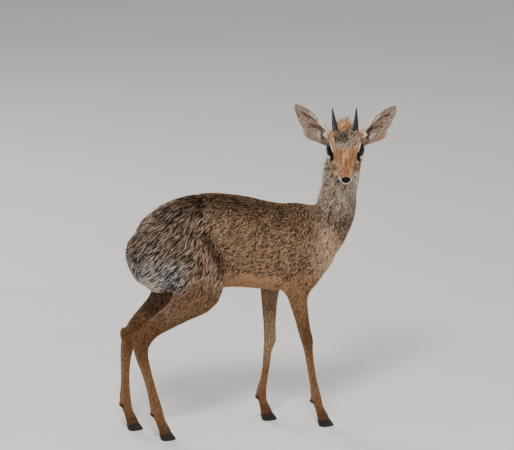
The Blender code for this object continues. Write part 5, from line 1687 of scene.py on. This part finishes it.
# Name, place, size, power and colour of each lamp
LAMPS = (
    ("key", (-1.1, -2.4, 2.9), 0.9, 134.0, (1.0, 0.955, 0.90)),
    ("fill", (2.4, -1.8, 1.3), 1.6, 20.0, (0.96, 0.98, 1.0)),
    ("rim", (-1.0, 2.4, 2.2), 1.2, 50.0, (1.0, 0.97, 0.93)),
)


def aim(obj, place, direction):
    obj.location = place
    obj.rotation_mode = "QUATERNION"
    obj.rotation_quaternion = direction.to_track_quat("-Z", "Y")


def place_camera():
    camera = add_object("camera", bpy.data.cameras.new("camera"))
    bpy.context.scene.camera = camera
    sin_a, cos_a = math.sin(AZIMUTH), math.cos(AZIMUTH)
    sin_e, cos_e = math.sin(ELEVATION), math.cos(ELEVATION)
    right = Vector((cos_a, sin_a, 0))
    up = Vector((-sin_a * sin_e, cos_a * sin_e, cos_e))
    back = Vector((sin_a * cos_e, -cos_a * cos_e, sin_e))
    across = (FRAME_PIXELS[0] / 2 - ORIGIN_PIXEL[0]) / PIXELS_PER_METRE
    rise = (ORIGIN_PIXEL[1] - FRAME_PIXELS[1] / 2) / PIXELS_PER_METRE
    target = right * across + up * rise - ORIGIN
    camera.data.lens = LENS
    camera.data.sensor_width = SENSOR
    camera.data.clip_end = 100.0
    aim(camera, target + back * (LENS / SENSOR * FRAME_PIXELS[0] / PIXELS_PER_METRE), -back)


def place_stage():
    mesh = bpy.data.meshes.new("floor")
    corners = [(x * FLOOR_REACH, y * FLOOR_REACH, 0) for x, y in ((-1, -1), (1, -1), (1, 1), (-1, 1))]
    mesh.from_pydata(corners, [], [(0, 1, 2, 3)])
    floor = add_object("floor", mesh)
    floor.data.materials.append(floor_finish())
    world = bpy.data.worlds.new("studio")
    bpy.context.scene.world = world
    world.use_nodes = True
    back = world.node_tree.nodes["Background"]
    back.inputs[0].default_value = (0.96, 0.97, 1.0, 1)
    back.inputs[1].default_value = 0.46
    for name, place, size, power, colour in LAMPS:
        lamp = bpy.data.lights.new(name, "AREA")
        lamp.shape = "DISK"
        lamp.size = size
        lamp.energy = power
        lamp.color = colour
        aim(add_object(name, lamp), place, Vector(STAGE_MIDDLE) - Vector(place))


# Putting it together

FLESH_NODES = ("torso", "neck", "head", "tail", "leg_fore_left", "leg_fore_right")
FLESH_NODES += ("leg_hind_left", "leg_hind_right", "ear_left", "ear_right")


def settle(obj, slot, material, *replaced):
    """Moves a finished piece into the part's frame and hands it to the body it rides on."""
    obj.data.transform(Matrix.Translation(-ORIGIN))
    obj.data.materials.clear()
    obj.data.materials.append(material)
    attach(obj, "root")
    if replaced:
        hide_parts(*replaced)


def main():
    place_camera()
    place_stage()
    skin, nose = make_skin()
    unwrap(skin)
    points, normals = read_points(skin), read_normals(skin)
    parts, lie, down = body_fields(points)
    colours = markings(points, normals, parts, down)
    sizes = coat_sizes(points, normals, parts)
    lie = comb(points, normals, lie, parts)
    coat = grow_coat(skin, points, normals, parts, colours, lie, sizes)
    coat.append(forelock())
    dark, pale, share = colours
    # The skin takes the hair's mean colour, darkened where the coat is deep: painted shade between the tufts
    paint(skin, mix(pale, dark, share) * (0.88 - 0.50 * ramp(sizes[0], 0.0012, 0.0035)[:, None]))
    settle(skin, "coat", coat_finish("coat_skin", 900.0, 0.8), *FLESH_NODES)
    hair = coat_finish("coat_hair", 1400.0, 0.25)
    for piece in coat:
        settle(piece, "ear" if "ear" in piece.name else "coat", hair)
    settle(nose, "nose", nose_finish(), "nose")
    eye, horn, hoof = eye_finish(), horn_finish(), hoof_finish()
    for side, word in ((1, "left"), (-1, "right")):
        settle(eye_ball(f"eyeball_{word}", side), "eye", eye, f"eye_{word}")
        settle(fine_horn(f"horn_fine_{word}", side), "horn", horn, f"horn_{word}")
    for leg, rows in LEGS.items():
        for side in SIDES:
            place = "inner" if (side > 0) == (rows[FOOT_ROW][1] < 0) else "outer"
            claw = fine_claw(f"claw_{leg}_{place}", rows, side)
            settle(claw, "hoof", hoof, f"hoof_{leg}_{place}")


main()
